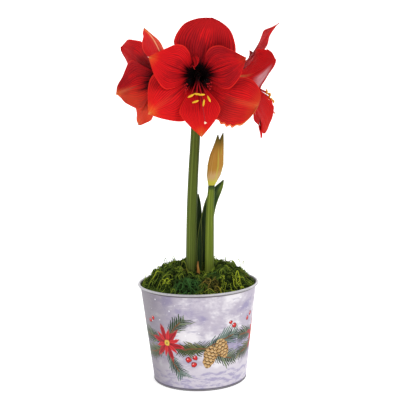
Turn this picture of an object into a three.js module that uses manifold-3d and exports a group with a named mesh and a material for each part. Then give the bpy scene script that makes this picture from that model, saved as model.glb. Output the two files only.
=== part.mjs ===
// A red amaryllis in bloom, in a tapered tin pot topped with moss.
// Millimetres, +Z up. The origin is the centre of the pot's underside, and the open bloom faces -Y.
import * as THREE from "three";
import Module from "manifold-3d";
import { mergeVertices } from "three/addons/utils/BufferGeometryUtils.js";
import { LoftGeometry } from "three/addons/geometries/LoftGeometry.js";

const wasm = await Module();
wasm.setup();

const radians = THREE.MathUtils.degToRad;
const lerp = THREE.MathUtils.lerp;
const smooth = THREE.MathUtils.smoothstep;
const FULL_TURN = 2 * Math.PI;

function vec(x, y, z) {
  return new THREE.Vector3(x, y, z);
}

// Driving dimensions
const GAP = 0.3; // between pieces that touch
const MERGE_DISTANCE = 1e-4; // points closer than this are one
const NORMAL_STEP = 1e-3; // the step in a sheet's own coordinates that its facing is measured over
const SOCKET_CLEARANCE = 0.35; // round what grows out of the bulb

const POT = {
  height: 135.8,
  footRadius: 64.3,
  neckRadius: 80.2, // outside of the wall, at the height of the rim
  wall: 1.0,
  floor: 1.4,
  rimBead: 2.2, // radius of the rolled rim
  rimRoom: 1.8, // from the bead's centre down to the top of the straight wall, in bead radii
  seamBead: 1.0, // radius of the bottom seam
  seamRoom: 3, // from the underside up to the foot of the straight wall, in bead radii
  segments: 36,
};

const SOIL_TOP = 118;
const SOIL_SEGMENTS = 36;

const MOSS = {
  crown: 163.5,
  edgeTop: 131,
  fallPower: 3.7, // how late the mound falls towards the wall
  bump: 2.2,
  around: 28,
  rings: 5,
  spacing: 0.85, // below 1 the rings lie closer together towards the wall
};
// The hollow in the moss around the stalks
const MOSS_DIP = { x: 3, y: -26, depth: 12, spread: 23 };

// The bulb's girth is given as shares of its height and of its radius
const BULB = { x: 3, y: -6, foot: 56, top: 141, radius: 37, segments: 18 };
const BULB_GIRTH = [
  [0, 0.3],
  [0.1, 0.7],
  [0.28, 1],
  [0.45, 1],
  [0.64, 0.86],
  [0.8, 0.72],
  [0.92, 0.6],
  [1, 0.45],
];

const UMBEL = vec(3.6, 0, 386); // where the flower stems leave the main stalk
const MAIN_STALK = {
  route: [
    vec(-10.6, -11, 124),
    vec(-8.9, -10, 163),
    vec(-6.4, -8, 233),
    vec(-3.1, -5, 289),
    vec(0.2, -2.5, 331),
    UMBEL,
  ],
  radii: [7.4, 7.3, 7, 6.8, 6.5, 6.3],
};
const HEAD = { below: 9, above: 3, radii: [6.4, 8.4, 7] };
const PEDICEL_RADIUS = 4.2;
const PEDICEL_RISE = 12; // how high a flower stem climbs before it bends out
const PEDICEL_BEND = 0.35; // where it bends, as a share of the way out to the bloom
const OVARY = { radius: 5.8, length: 13, overlap: 5 };

const YOUNG_TOP = 269.7;
const YOUNG_STALK = {
  route: [
    vec(14.6, -15.5, 122),
    vec(15.8, -15, 154),
    vec(17, -15, 200),
    vec(18.4, -15, 236),
    vec(20.9, -15, YOUNG_TOP),
  ],
  radii: [6.4, 6.2, 6, 5.5, 4.4],
};
const STALK_FLATNESS = 0.95; // depth over width

const BUD_FOOT = vec(20.9, -15, YOUNG_TOP + GAP);
const BUD_FLATNESS = 0.78;
// The bud's two sheath leaves are pressed together and part at their tips
const BUD_VALVES = [
  {
    spine: [vec(25, -16, 292), vec(27.2, -16.5, 311), vec(29.6, -16.5, 325), vec(30.9, -16, 338)],
    radii: [4.5, 8.6, 9.4, 7.6, 4.4, 0.7],
  },
  {
    spine: [vec(26.6, -14, 292), vec(30.4, -13.5, 311), vec(34.4, -13.5, 326), vec(37.9, -13, 340)],
    radii: [4.5, 8.8, 9.6, 7.4, 4.2, 0.7],
  },
];

const LEAF_THICKNESS = 1.6;
const LEAF_TURN = 0.12; // how far a leaf is turned out of the plane across, as a slope
const LEAF_TIP = { narrowing: 0.95, power: 1.8 };
// taper is the share of the length where a leaf starts to narrow, and channel the depth of its trough
const LEAVES = {
  leaf_right: {
    route: [vec(8.5, 4, 126), vec(11.4, 5, 180), vec(15.6, 5, 228), vec(23.8, 4, 254), vec(36.5, 3, 273.5)],
    half: 8.8,
    taper: 0.86,
    channel: 1.6,
  },
  leaf_left: {
    route: [vec(-4, 9.5, 126), vec(-3.5, 11, 165), vec(-2.2, 11, 215), vec(2.7, 10, 256)],
    half: 8.5,
    taper: 0.7,
    channel: 1.4,
  },
  leaf_middle: {
    route: [vec(4.6, 0, 126), vec(6, 0.6, 160), vec(9, 0.4, 205), vec(13.2, -1, 248)],
    half: 6.2,
    taper: 0.62,
    channel: 1.2,
  },
  leaf_short: {
    route: [vec(1.8, -7, 128), vec(2.6, -7, 160), vec(3.5, -5.5, 195), vec(6, -4.5, 224)],
    half: 3.6,
    taper: 0.5,
    channel: 0.9,
  },
};

// A papery scale tip of the bulb that shows between the stalks
const SCALE_TIP = {
  route: [vec(0.2, -18.5, 136), vec(0.4, -19.5, 150), vec(0.8, -20, 167)],
  footHalf: 4.2,
  tipHalf: 0.5,
  channel: 1.4,
  thickness: 1,
};

// The withered sheath leaves that hang beside the stalk from its head
const BRACT = {
  half: 5.5,
  curl: 1.5,
  thickness: 0.8,
  bulge: 5.5, // how far it stands out from its seat
  seatDepth: 1, // below the top of the stalk
  bends: [0.3, 0.7], // where it stands out, as shares of its drop
  outline: [0.25, 0.97], // the part of a half wave that its width follows
};
const BRACTS = {
  bract_left: { side: -1, drop: 34 },
  bract_right: { side: 1, drop: 30 },
};

// Petals. A petal's clock is its angle round the bloom's face, 0 upwards and clockwise as seen from
// in front. Its tip lies reach from the bloom's axis and depth in front of the bloom's foot.
// half is its half width, widest at the share peak of its length, and taper and point shape its end.
// flare is the angle of its tip to the axis, lift moves it into the inner or outer layer, edge is how
// it curves across, bow and twist bend it to one side and turn it round its mid-line, and skirt widens
// one side of its end.
const PETAL = { flare: 80, peak: 0.62, taper: 1.7, point: 1, ruffle: 2, twist: 0, bow: 0, skirt: 0, phase: 0 };
const OUTER = { ...PETAL, half: 30, lift: -1, edge: -0.013, flare: 84 };
const INNER = { ...PETAL, half: 28, lift: 1, edge: 0.006, flare: 76 };
const PETAL_THICKNESS = 1.0;
const PETAL_GRID = { long: 7, wide: 6, thickness: PETAL_THICKNESS };
const TUBE_RADIUS = 5.5; // where the petals join
const ROOT = {
  depth: 1.2, // how far in front of the foot the petals start, inside the cup
  lean: 11, // degrees from the bloom's axis
  pull: 0.42, // how long the tube stays slim, as a share of the petal's chord
  half: 5.6,
};
const TIP_PULL = 0.36;
const TIP_HALF = 0.7;
const WIDENING = 3.3; // how late a petal widens between its root and its widest place
const RIB = { depth: 1.1, width: 4, fade: 0.6 };
const RUFFLE_WAVES = 2.6;
const RUFFLE_OFFSET = 2; // keeps a petal's two edges out of step
const CUP = { depths: [0, 3.5, 7], radii: [5.9, 7.6, 8.1], sides: 8 };

// Stamens and style: where a filament bends, as shares of its end's side, drop and depth
const STAMEN_RING = 3.6; // radius of the ring of stamen roots
const STAMEN_ROOT_DEPTH = 4;
const FILAMENT = { rootRadius: 1.05, radius: 0.8, bend: [0.3, 0.33, 0.6] };
const ANTHER = { length: 8.5, radius: 1.35, tipRadius: 0.5, seat: 0.6, slant: 0.35, arch: 0.5 };
const STYLE = { rootRadius: 1.1, radius: 0.8, bend: [0.3, 0.25, 0.6], rootDepth: 3 };
const STIGMA = { lobes: 3, reach: 2.4, rise: 1.6, radius: 0.7 };
const TYPICAL_ANTHERS = [
  [-8, -20, 64],
  [5, -19, 67],
  [-4, -27, 66],
  [8, -27, 68],
  [14, -23, 65],
  [-1, -13, 63],
];
const TYPICAL_STIGMA = [4, -42, 84];

function outer(clock, reach, depth, more = {}) {
  return { ...OUTER, clock, reach, depth, ...more };
}

function inner(clock, reach, depth, more = {}) {
  return { ...INNER, clock, reach, depth, ...more };
}

// turn is each bloom's angle from -Y towards -X, and nod its angle below level
const BLOOMS = [
  {
    name: "bloom_front",
    foot: vec(6, -42, 416),
    turn: 0,
    nod: 4,
    petals: [
      outer(15, 73, 56, { half: 39, peak: 0.57, taper: 2, point: 0.58, phase: 0.4, flare: 68 }),
      inner(69, 64, 64, { phase: 1.3 }),
      outer(116, 82, 61, { half: 32, peak: 0.72, taper: 2, point: 0.5, bow: 8, skirt: 0.3, ruffle: 3, phase: 2.1 }),
      inner(177, 72, 69, { half: 25.5, taper: 1.35, peak: 0.68, ruffle: 0.8 }),
      outer(-125, 75, 62, { half: 35, phase: 3.0 }),
      inner(-66, 64, 64, { half: 29, phase: 4.2 }),
    ],
    anthers: [
      [-8.5, -21.5, 67],
      [4.5, -20, 70],
      [-3, -28.5, 68],
      [7, -30, 70],
      [13.5, -25.5, 67],
      [-1, -19.5, 65],
    ],
    stigma: [8.5, -53, 82],
  },
  {
    name: "bloom_left",
    foot: vec(-22, -14, 415),
    turn: 60,
    nod: 5,
    petals: [
      inner(17, 69, 50, { half: 40, flare: 46, peak: 0.6, ruffle: 1, bow: 17, phase: 0.7 }),
      outer(64, 52, 46, { half: 24, phase: 1.9 }),
      inner(124, 46, 58, { half: 23, flare: 60, phase: 2.6 }),
      outer(-156, 62, 53, { half: 24, point: 0.5, phase: 0.2 }),
      inner(-106, 57, 65, { half: 36, peak: 0.5, taper: 1.35, phase: 3.3 }),
      outer(-52, 77, 48, { half: 27, taper: 2, point: 0.6, ruffle: 3, phase: 5.1 }),
    ],
    anthers: [
      [11, -18, 42],
      [14, -15, 43],
      [9, -21, 41],
      [13, -21, 44],
      [8, -13, 39],
      [12, -9, 41],
    ],
    stigma: [15, -27, 48],
  },
  {
    name: "bloom_right",
    foot: vec(32, -6, 415),
    turn: -97,
    nod: 6,
    petals: [
      inner(19, 86, 82, { half: 29, taper: 1.2, point: 1.6, peak: 0.46, flare: 42, twist: 38, phase: 0.9 }),
      outer(60, 60, 56, { half: 25, phase: 2.2 }),
      inner(121, 64, 60, { half: 25, phase: 3.1 }),
      outer(-174, 77, 66, { half: 12, point: 1.3, ruffle: 3, phase: 1.1 }),
      inner(-150, 74, 66, { half: 32, peak: 0.74, point: 0.35, skirt: 0.3, phase: 4.4 }),
      outer(-64, 60, 66, { half: 31, flare: 62, point: 0.6, bow: -7, phase: 5.2 }),
    ],
    anthers: [
      [-24, -14, 62],
      [-27, -19, 60],
      [-25, -25, 58],
      [-19, -22, 63],
      [-29, -23, 56],
      [-21, -17, 57],
    ],
    stigma: [-13, -42, 79],
  },
  {
    name: "bloom_back",
    foot: vec(5, 27, 415),
    turn: 176,
    nod: 5,
    petals: [
      outer(-4, 66, 58, { half: 30, taper: 2, point: 0.6, phase: 1.2 }),
      inner(56, 62, 60, { phase: 2.2 }),
      outer(116, 62, 58, { phase: 3.4 }),
      inner(178, 62, 62, { half: 25, phase: 0.2 }),
      outer(-126, 76, 56, { phase: 4.1 }),
      inner(-69, 80, 56, { half: 26, phase: 5.5 }),
    ],
    anthers: TYPICAL_ANTHERS,
    stigma: TYPICAL_STIGMA,
  },
];

// Solids from geometries, joined and cut
function bare(geometry) {
  const copy = new THREE.BufferGeometry();
  copy.setAttribute("position", geometry.getAttribute("position").clone());
  if (geometry.index) copy.setIndex(geometry.index.clone());
  return mergeVertices(copy, MERGE_DISTANCE);
}

function solidOf(geometry) {
  const merged = bare(geometry);
  return new wasm.Manifold(
    new wasm.Mesh({
      numProp: 3,
      vertProperties: new Float32Array(merged.attributes.position.array),
      triVerts: new Uint32Array(merged.index.array),
    }),
  );
}

function joined(solids) {
  return solids.reduce((sum, solid) => sum.add(solid));
}

function without(solid, cutters) {
  return cutters.reduce((rest, cutter) => rest.subtract(cutter), solid);
}

// The largest body alone: hollows that joining sealed are filled, and loose scraps are dropped
function whole(solid) {
  const bodies = solid.decompose();
  return bodies.reduce((best, body) => (body.volume() > best.volume() ? body : best));
}

function geometryOf(solid) {
  const mesh = solid.getMesh();
  const stride = mesh.numProp;
  const points = [];
  for (let i = 0; i < mesh.numVert; i++) {
    points.push(...mesh.vertProperties.subarray(i * stride, i * stride + 3));
  }
  const geometry = new THREE.BufferGeometry();
  geometry.setAttribute("position", new THREE.Float32BufferAttribute(points, 3));
  geometry.setIndex([...mesh.triVerts]);
  geometry.computeVertexNormals();
  return geometry;
}

function named(name, solid, { color, roughness, metalness = 0 }) {
  const material = new THREE.MeshStandardMaterial({ color, roughness, metalness });
  const mesh = new THREE.Mesh(geometryOf(solid), material);
  mesh.name = name;
  return mesh;
}

// A closed tube through points, its radius eased along radii. With a flatness its rings lie level,
// full width along X and flattened along Y.
function tube(points, radii, { sides, steps, grow = 0, flatness }) {
  const curve = new THREE.CatmullRomCurve3(points);
  const frames = curve.computeFrenetFrames(steps, false);
  const rings = [];
  for (let i = 0; i <= steps; i++) {
    const share = i / steps;
    const centre = curve.getPointAt(share);
    const place = share * (radii.length - 1);
    const index = Math.min(Math.floor(place), radii.length - 2);
    const radius = lerp(radii[index], radii[index + 1], place - index) + grow;
    const wide = flatness ? vec(1, 0, 0) : frames.normals[i];
    const deep = flatness ? vec(0, flatness, 0) : frames.binormals[i];
    const ring = [];
    for (let k = 0; k < sides; k++) {
      const angle = (k / sides) * FULL_TURN;
      const point = centre.clone().addScaledVector(wide, radius * Math.cos(angle));
      ring.push(point.addScaledVector(deep, radius * Math.sin(angle)));
    }
    rings.push(ring);
  }
  return solidOf(new LoftGeometry(rings, { closed: true, capStart: true, capEnd: true }));
}

function turned(profile, segments) {
  const points = profile.map(([r, z]) => new THREE.Vector2(r, z));
  const geometry = new THREE.LatheGeometry(points, segments);
  geometry.rotateX(Math.PI / 2);
  return solidOf(geometry);
}

// A closed sheet: surface(t, v) gives a point for t from 0 to 1 along and v from -1 to 1 across.
// Both faces are split along the same diagonals, so a waved sheet never crosses itself.
function sheet(surface, { long, wide, thickness }) {
  const step = NORMAL_STEP;
  const front = [];
  const back = [];
  for (let i = 0; i <= long; i++) {
    for (let j = 0; j <= wide; j++) {
      const t = i / long;
      const v = (j / wide) * 2 - 1;
      const along = surface(Math.min(t + step, 1), v).sub(surface(Math.max(t - step, 0), v));
      const across = surface(t, Math.min(v + step, 1)).sub(surface(t, Math.max(v - step, -1)));
      const normal = across.cross(along).normalize();
      const point = surface(t, v);
      front.push(point.clone().addScaledVector(normal, thickness / 2));
      back.push(point.clone().addScaledVector(normal, -thickness / 2));
    }
  }
  const columns = wide + 1;
  const offset = front.length;
  const index = [];
  const quad = (a, b, c, d) => index.push(a, b, c, a, c, d);
  for (let i = 0; i < long; i++) {
    for (let j = 0; j < wide; j++) {
      const a = i * columns + j;
      const b = a + 1;
      const c = b + columns;
      const d = a + columns;
      quad(a, b, c, d);
      index.push(offset + a, offset + c, offset + b, offset + a, offset + d, offset + c);
    }
  }
  const wall = (a, b) => quad(a, b, b + offset, a + offset);
  for (let i = 0; i < long; i++) {
    wall(i * columns, (i + 1) * columns);
    wall((i + 1) * columns + wide, i * columns + wide);
  }
  for (let j = 0; j < wide; j++) {
    wall(j + 1, j);
    wall(long * columns + j, long * columns + j + 1);
  }
  const geometry = new THREE.BufferGeometry().setFromPoints([...front, ...back]);
  geometry.setIndex(index);
  return solidOf(geometry);
}

// Pot, soil and moss
function wallRadius(z) {
  return lerp(POT.footRadius, POT.neckRadius, z / POT.height);
}

function insideRadius(z) {
  return wallRadius(z) - POT.wall;
}

function arcProfile(centreR, centreZ, radius, from, to, steps) {
  const points = [];
  for (let i = 0; i <= steps; i++) {
    const angle = radians(lerp(from, to, i / steps));
    points.push([centreR + radius * Math.cos(angle), centreZ + radius * Math.sin(angle)]);
  }
  return points;
}

function pot() {
  const { rimBead, seamBead } = POT;
  const rimZ = POT.height - rimBead;
  const rimR = insideRadius(rimZ) + rimBead;
  const seamTop = seamBead * POT.seamRoom;
  const wallTop = rimZ - rimBead * POT.rimRoom;
  const profile = [
    [0, 0],
    ...arcProfile(POT.footRadius - seamBead / 2, seamBead, seamBead, -90, 60, 3),
    [wallRadius(seamTop), seamTop],
    [wallRadius(wallTop), wallTop],
    ...arcProfile(rimR, rimZ, rimBead, -60, 180, 7),
    [insideRadius(POT.floor), POT.floor],
    [0, POT.floor],
  ];
  return turned(profile, POT.segments);
}

function soil() {
  const foot = POT.floor + GAP;
  const profile = [
    [0, foot],
    [insideRadius(foot) - GAP, foot],
    [insideRadius(SOIL_TOP) - GAP, SOIL_TOP],
    [0, SOIL_TOP],
  ];
  return without(turned(profile, SOIL_SEGMENTS), [bulb(GAP)]);
}

// A dome with a hollow around the stalks and two sets of crossing waves for its lumps
function mossHeight(x, y) {
  const share = Math.hypot(x, y) / insideRadius(MOSS.edgeTop);
  const fall = (MOSS.crown - MOSS.edgeTop) * Math.pow(share, MOSS.fallPower);
  const away = ((x - MOSS_DIP.x) ** 2 + (y - MOSS_DIP.y) ** 2) / MOSS_DIP.spread ** 2;
  const dip = MOSS_DIP.depth * Math.exp(-away);
  const broad = Math.sin(x * 0.21 + 1.3 * Math.sin(y * 0.13)) * Math.sin(y * 0.19 + 0.7);
  const fine = Math.sin(x * 0.43 + y * 0.31) * Math.sin(y * 0.47 - x * 0.17 + 2);
  return MOSS.crown - fall - dip + MOSS.bump * (broad + 0.6 * fine) * (1 - Math.pow(share, 8));
}

function mossMound() {
  const { around, rings } = MOSS;
  const foot = SOIL_TOP + GAP;
  const lip = insideRadius(MOSS.edgeTop) - GAP;
  // every other ring is turned by half a step
  const direction = (ring, k) => ((k + (ring % 2) / 2) / around) * FULL_TURN;
  const points = [vec(0, 0, mossHeight(0, 0))];
  for (let ring = 1; ring <= rings; ring++) {
    const r = lip * Math.pow(ring / rings, MOSS.spacing);
    for (let k = 0; k < around; k++) {
      const x = r * Math.cos(direction(ring, k));
      const y = r * Math.sin(direction(ring, k));
      points.push(vec(x, y, ring === rings ? MOSS.edgeTop : mossHeight(x, y)));
    }
  }
  const footRadius = insideRadius(foot) - GAP;
  for (let k = 0; k < around; k++) {
    const angle = direction(rings, k);
    points.push(vec(footRadius * Math.cos(angle), footRadius * Math.sin(angle), foot));
  }
  points.push(vec(0, 0, foot));
  const centre = points.length - 1;
  const at = (ring, k) => 1 + (ring - 1) * around + (k % around);
  const index = [];
  for (let k = 0; k < around; k++) {
    index.push(0, at(1, k), at(1, k + 1));
    index.push(centre, at(rings + 1, k + 1), at(rings + 1, k));
  }
  for (let ring = 1; ring <= rings; ring++) {
    for (let k = 0; k < around; k++) {
      const a = at(ring, k);
      const b = at(ring, k + 1);
      const c = at(ring + 1, k);
      const d = at(ring + 1, k + 1);
      if (ring % 2 && ring < rings) index.push(a, c, d, a, d, b);
      else index.push(a, c, b, b, c, d);
    }
  }
  const geometry = new THREE.BufferGeometry().setFromPoints(points);
  geometry.setIndex(index);
  return solidOf(geometry);
}

// Bulb, stalks, bud and leaves. What stands in the bulb is also made larger by grow, to cut its socket.
function bulb(grow = 0) {
  const height = BULB.top - BULB.foot;
  const last = BULB_GIRTH.length - 1;
  const profile = BULB_GIRTH.map(([share, girth], k) => {
    const outwards = k === 0 ? -grow : k === last ? grow : 0;
    return [BULB.radius * girth + grow, BULB.foot + height * share + outwards];
  });
  const closed = [[0, profile[0][1]], ...profile, [0, profile[last][1]]];
  return turned(closed, BULB.segments).translate([BULB.x, BULB.y, 0]);
}

// A route that starts lower by grow, so that the socket has room under the foot
function deepened(route, grow) {
  return [route[0].clone().add(vec(0, 0, -grow)), ...route.slice(1)];
}

function mainStalk(grow = 0) {
  return tube(deepened(MAIN_STALK.route, grow), MAIN_STALK.radii, { sides: 12, steps: 9, grow });
}

function youngStalk(grow = 0) {
  const { route, radii } = YOUNG_STALK;
  return tube(deepened(route, grow), radii, { sides: 12, steps: 7, grow, flatness: STALK_FLATNESS });
}

// A strap leaf with a shallow channel, tapering to its tip
function leaf({ route, half, taper, channel }, grow = 0) {
  const curve = new THREE.CatmullRomCurve3(deepened(route, grow));
  const surface = (t, v) => {
    const end = Math.pow(Math.max(0, (t - taper) / (1 - taper)), LEAF_TIP.power);
    const width = half * (1 - LEAF_TIP.narrowing * end) + grow;
    return curve.getPoint(t).add(vec(v * width, LEAF_TURN * v * width - channel * v * v, 0));
  };
  return sheet(surface, { long: 9, wide: 4, thickness: LEAF_THICKNESS + 2 * grow });
}

function scaleTip(grow = 0) {
  const { route, footHalf, tipHalf, channel, thickness } = SCALE_TIP;
  const curve = new THREE.CatmullRomCurve3(deepened(route, grow));
  const surface = (t, v) => {
    const width = lerp(footHalf, tipHalf, t * t) + grow;
    return curve.getPoint(t).add(vec(v * width, channel * v * v, 0));
  };
  return sheet(surface, { long: 5, wide: 4, thickness: thickness + 2 * grow });
}

function bud() {
  const valve = ({ spine, radii }) =>
    tube([BUD_FOOT, ...spine], radii, { sides: 10, steps: 8, flatness: BUD_FLATNESS });
  return joined(BUD_VALVES.map(valve));
}

// Blooms. place(x, y, z) is x to the bloom's right, y up its face and z along its axis from its foot.
function bloomPlace({ foot, turn, nod }) {
  const level = Math.cos(radians(nod));
  const face = vec(
    -Math.sin(radians(turn)) * level,
    -Math.cos(radians(turn)) * level,
    -Math.sin(radians(nod)),
  );
  const right = vec(0, 0, 1).cross(face).normalize();
  const up = face.clone().cross(right);
  return (x, y, z) =>
    foot.clone().addScaledVector(right, x).addScaledVector(up, y).addScaledVector(face, z);
}

function halfWidth(petal, t) {
  if (t < petal.peak) {
    const rise = t / petal.peak;
    const share = Math.pow(rise, WIDENING) * (1 + WIDENING - WIDENING * rise);
    return lerp(ROOT.half, petal.half, share);
  }
  const fall = (t - petal.peak) / (1 - petal.peak);
  const left = Math.max(0, 1 - Math.pow(fall, petal.taper));
  return Math.max(TIP_HALF, petal.half * Math.pow(left, petal.point));
}

// The mid-line in the petal's own half plane: x is the distance from the bloom's axis, y goes along it
function midLine(petal) {
  const chord = Math.hypot(petal.reach - TUBE_RADIUS, petal.depth);
  const root = new THREE.Vector2(TUBE_RADIUS, ROOT.depth);
  const tip = new THREE.Vector2(petal.reach, petal.depth);
  const heading = (degrees) => new THREE.Vector2(Math.sin(radians(degrees)), Math.cos(radians(degrees)));
  const fromRoot = root.clone().addScaledVector(heading(ROOT.lean), ROOT.pull * chord);
  const beforeTip = tip.clone().addScaledVector(heading(petal.flare), -TIP_PULL * chord);
  return new THREE.CubicBezierCurve(root, fromRoot, beforeTip, tip);
}

function petalSurface(petal, place) {
  const line = midLine(petal);
  const clock = radians(petal.clock);
  return (t, v) => {
    const mid = line.getPoint(t);
    const along = line.getTangent(t);
    const free = smooth(t, 0.3, 0.8);
    const s = v * halfWidth(petal, t) * (1 + petal.skirt * Math.max(0, v) * t ** 4);
    // near its root the petal wraps the tube, and further out it has its own curve
    const wrap = Math.max(along.y, 0) / mid.x;
    const bend = lerp(wrap, petal.edge, free);
    const swing = s * bend;
    const straight = Math.abs(swing) < 1e-6;
    const sideways = (straight ? s : Math.sin(swing) / bend) + petal.bow * Math.sin(Math.PI * t);
    const cup = straight ? 0 : (1 - Math.cos(swing)) / bend;
    const rib = -RIB.depth * free * Math.exp(-((s / RIB.width) ** 2)) * (1 - RIB.fade * t * t);
    const wave = Math.sin(RUFFLE_WAVES * FULL_TURN * t + petal.phase + RUFFLE_OFFSET * Math.sign(v));
    const rise = cup + rib + petal.ruffle * free * v * v * wave;
    const twist = radians(petal.twist) * t * t;
    const side = sideways * Math.cos(twist) - rise * Math.sin(twist);
    const lift = petal.lift + sideways * Math.sin(twist) + rise * Math.cos(twist);
    const r = mid.x - along.y * lift;
    const x = r * Math.sin(clock) + side * Math.cos(clock);
    const y = r * Math.cos(clock) - side * Math.sin(clock);
    return place(x, y, mid.y + along.x * lift);
  };
}

function bentPath(place, root, bend, [x, y, z]) {
  return [root, place(x * bend[0], y * bend[1], z * bend[2]), place(x, y, z)];
}

function stamen(place, end, rootAngle) {
  const [x, y, z] = end;
  const across = STAMEN_RING * Math.sin(rootAngle);
  const root = place(across, STAMEN_RING * Math.cos(rootAngle), STAMEN_ROOT_DEPTH);
  const radii = [FILAMENT.rootRadius, FILAMENT.radius];
  const filament = tube(bentPath(place, root, FILAMENT.bend, end), radii, { sides: 3, steps: 3 });
  const reach = ANTHER.length / 2;
  const tilt = ANTHER.slant * (x % 3);
  const seat = z + ANTHER.seat;
  const anther = tube(
    [place(x - reach, y - tilt, seat), place(x, y + ANTHER.arch, seat), place(x + reach, y + tilt, seat)],
    [ANTHER.tipRadius, ANTHER.radius, ANTHER.tipRadius],
    { sides: 4, steps: 2 },
  );
  return filament.add(anther);
}

function pistil(place, end) {
  const [x, y, z] = end;
  const path = bentPath(place, place(0, 0, STYLE.rootDepth), STYLE.bend, end);
  const style = tube(path, [STYLE.rootRadius, STYLE.radius], { sides: 4, steps: 5 });
  const lobes = [];
  for (let k = 0; k < STIGMA.lobes; k++) {
    const angle = (k / STIGMA.lobes) * FULL_TURN;
    const sunk = place(x, y, z - STIGMA.radius);
    const tip = place(
      x + STIGMA.reach * Math.cos(angle),
      y + STIGMA.reach * Math.sin(angle),
      z + STIGMA.rise,
    );
    lobes.push(tube([sunk, tip], [STIGMA.radius, STIGMA.radius], { sides: 4, steps: 1 }));
  }
  return joined([style, ...lobes]);
}

function bloom(spec) {
  const place = bloomPlace(spec);
  const cup = tube(
    CUP.depths.map((depth) => place(0, 0, depth)),
    CUP.radii,
    { sides: CUP.sides, steps: CUP.radii.length - 1 },
  );
  const petals = spec.petals.map((petal) => sheet(petalSurface(petal, place), PETAL_GRID));
  const count = spec.anthers.length;
  const stamens = spec.anthers.map((end, k) => stamen(place, end, (k / count) * FULL_TURN));
  return whole(joined([cup, ...petals, ...stamens, pistil(place, spec.stigma)]));
}

// A flower stem ends in the ovary that carries the bloom
function flowerStem(spec) {
  const place = bloomPlace(spec);
  const ovaryFoot = place(0, 0, -GAP - OVARY.length);
  const level = vec(ovaryFoot.x, ovaryFoot.y, UMBEL.z);
  const sunk = UMBEL.clone().add(vec(0, 0, -HEAD.below / 2));
  const bend = UMBEL.clone().lerp(level, PEDICEL_BEND).add(vec(0, 0, PEDICEL_RISE));
  const stem = tube(
    [sunk, bend, ovaryFoot, place(0, 0, OVARY.overlap - OVARY.length)],
    [PEDICEL_RADIUS, PEDICEL_RADIUS],
    { sides: 6, steps: 5 },
  );
  const ovary = tube(
    [ovaryFoot, place(0, 0, -GAP - OVARY.length / 2), place(0, 0, -GAP)],
    [PEDICEL_RADIUS, OVARY.radius, TUBE_RADIUS - 2 * GAP],
    { sides: 7, steps: 4 },
  );
  return stem.add(ovary);
}

function scapeMain() {
  const foot = UMBEL.clone().add(vec(0, 0, -HEAD.below));
  const top = UMBEL.clone().add(vec(0, 0, HEAD.above));
  const head = tube([foot, top], HEAD.radii, { sides: 12, steps: 3 });
  return whole(joined([mainStalk(), head, ...BLOOMS.map(flowerStem)]));
}

function bract({ side, drop }) {
  const seat = HEAD.radii[1] - GAP;
  const out = (distance, below) => vec(UMBEL.x + side * distance, 0, UMBEL.z - below);
  const curve = new THREE.CatmullRomCurve3([
    out(seat + BRACT.thickness / 2, BRACT.seatDepth),
    ...BRACT.bends.map((share) => out(seat + BRACT.bulge, drop * share)),
    out(seat + BRACT.bulge / 2, drop),
  ]);
  const surface = (t, v) => {
    const width = BRACT.half * Math.sin(Math.PI * lerp(...BRACT.outline, t));
    return curve.getPoint(t).add(vec(side * BRACT.curl * v * v * t, -side * v * width, 0));
  };
  return sheet(surface, { long: 5, wide: 4, thickness: BRACT.thickness });
}

const LOOKS = {
  tin: { color: "#cfc6da", roughness: 0.4, metalness: 0.3 },
  soil: { color: "#3a2c22", roughness: 0.95 },
  bulb: { color: "#8a6a3c", roughness: 0.7 },
  moss: { color: "#4f6a1f", roughness: 0.95 },
  stalk: { color: "#69793a", roughness: 0.45 },
  young: { color: "#7d9037", roughness: 0.45 },
  bud: { color: "#b47d3c", roughness: 0.6 },
  scale: { color: "#b5693a", roughness: 0.7 },
  leaf: { color: "#2f4a24", roughness: 0.4 },
  bract: { color: "#9a7a4a", roughness: 0.8 },
  petal: { color: "#c4161c", roughness: 0.4 },
};

// What the bulb and the moss leave room for
const grownThrough = [
  mainStalk(SOCKET_CLEARANCE),
  youngStalk(SOCKET_CLEARANCE),
  scaleTip(SOCKET_CLEARANCE),
  ...Object.values(LEAVES).map((spec) => leaf(spec, SOCKET_CLEARANCE)),
];

const group = new THREE.Group();
group.add(
  named("pot", pot(), LOOKS.tin),
  named("potting_soil", soil(), LOOKS.soil),
  named("bulb", without(bulb(), grownThrough), LOOKS.bulb),
  named("moss", without(mossMound(), [bulb(GAP), ...grownThrough]), LOOKS.moss),
  named("scape_main", scapeMain(), LOOKS.stalk),
  named("scape_young", youngStalk(), LOOKS.young),
  named("bud_spathe", bud(), LOOKS.bud),
  named("bulb_scale", scaleTip(), LOOKS.scale),
  ...Object.entries(LEAVES).map(([name, spec]) => named(name, leaf(spec), LOOKS.leaf)),
  ...Object.entries(BRACTS).map(([name, spec]) => named(name, bract(spec), LOOKS.bract)),
  ...BLOOMS.map((spec) => named(spec.name, bloom(spec), LOOKS.petal)),
);

export default group;
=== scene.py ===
"""A red amaryllis in a printed tin pot with moss: the finished surfaces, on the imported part."""

import math
from functools import partialmethod
from types import SimpleNamespace

import bpy
import numpy as np
from mathutils import Matrix, Vector


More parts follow.
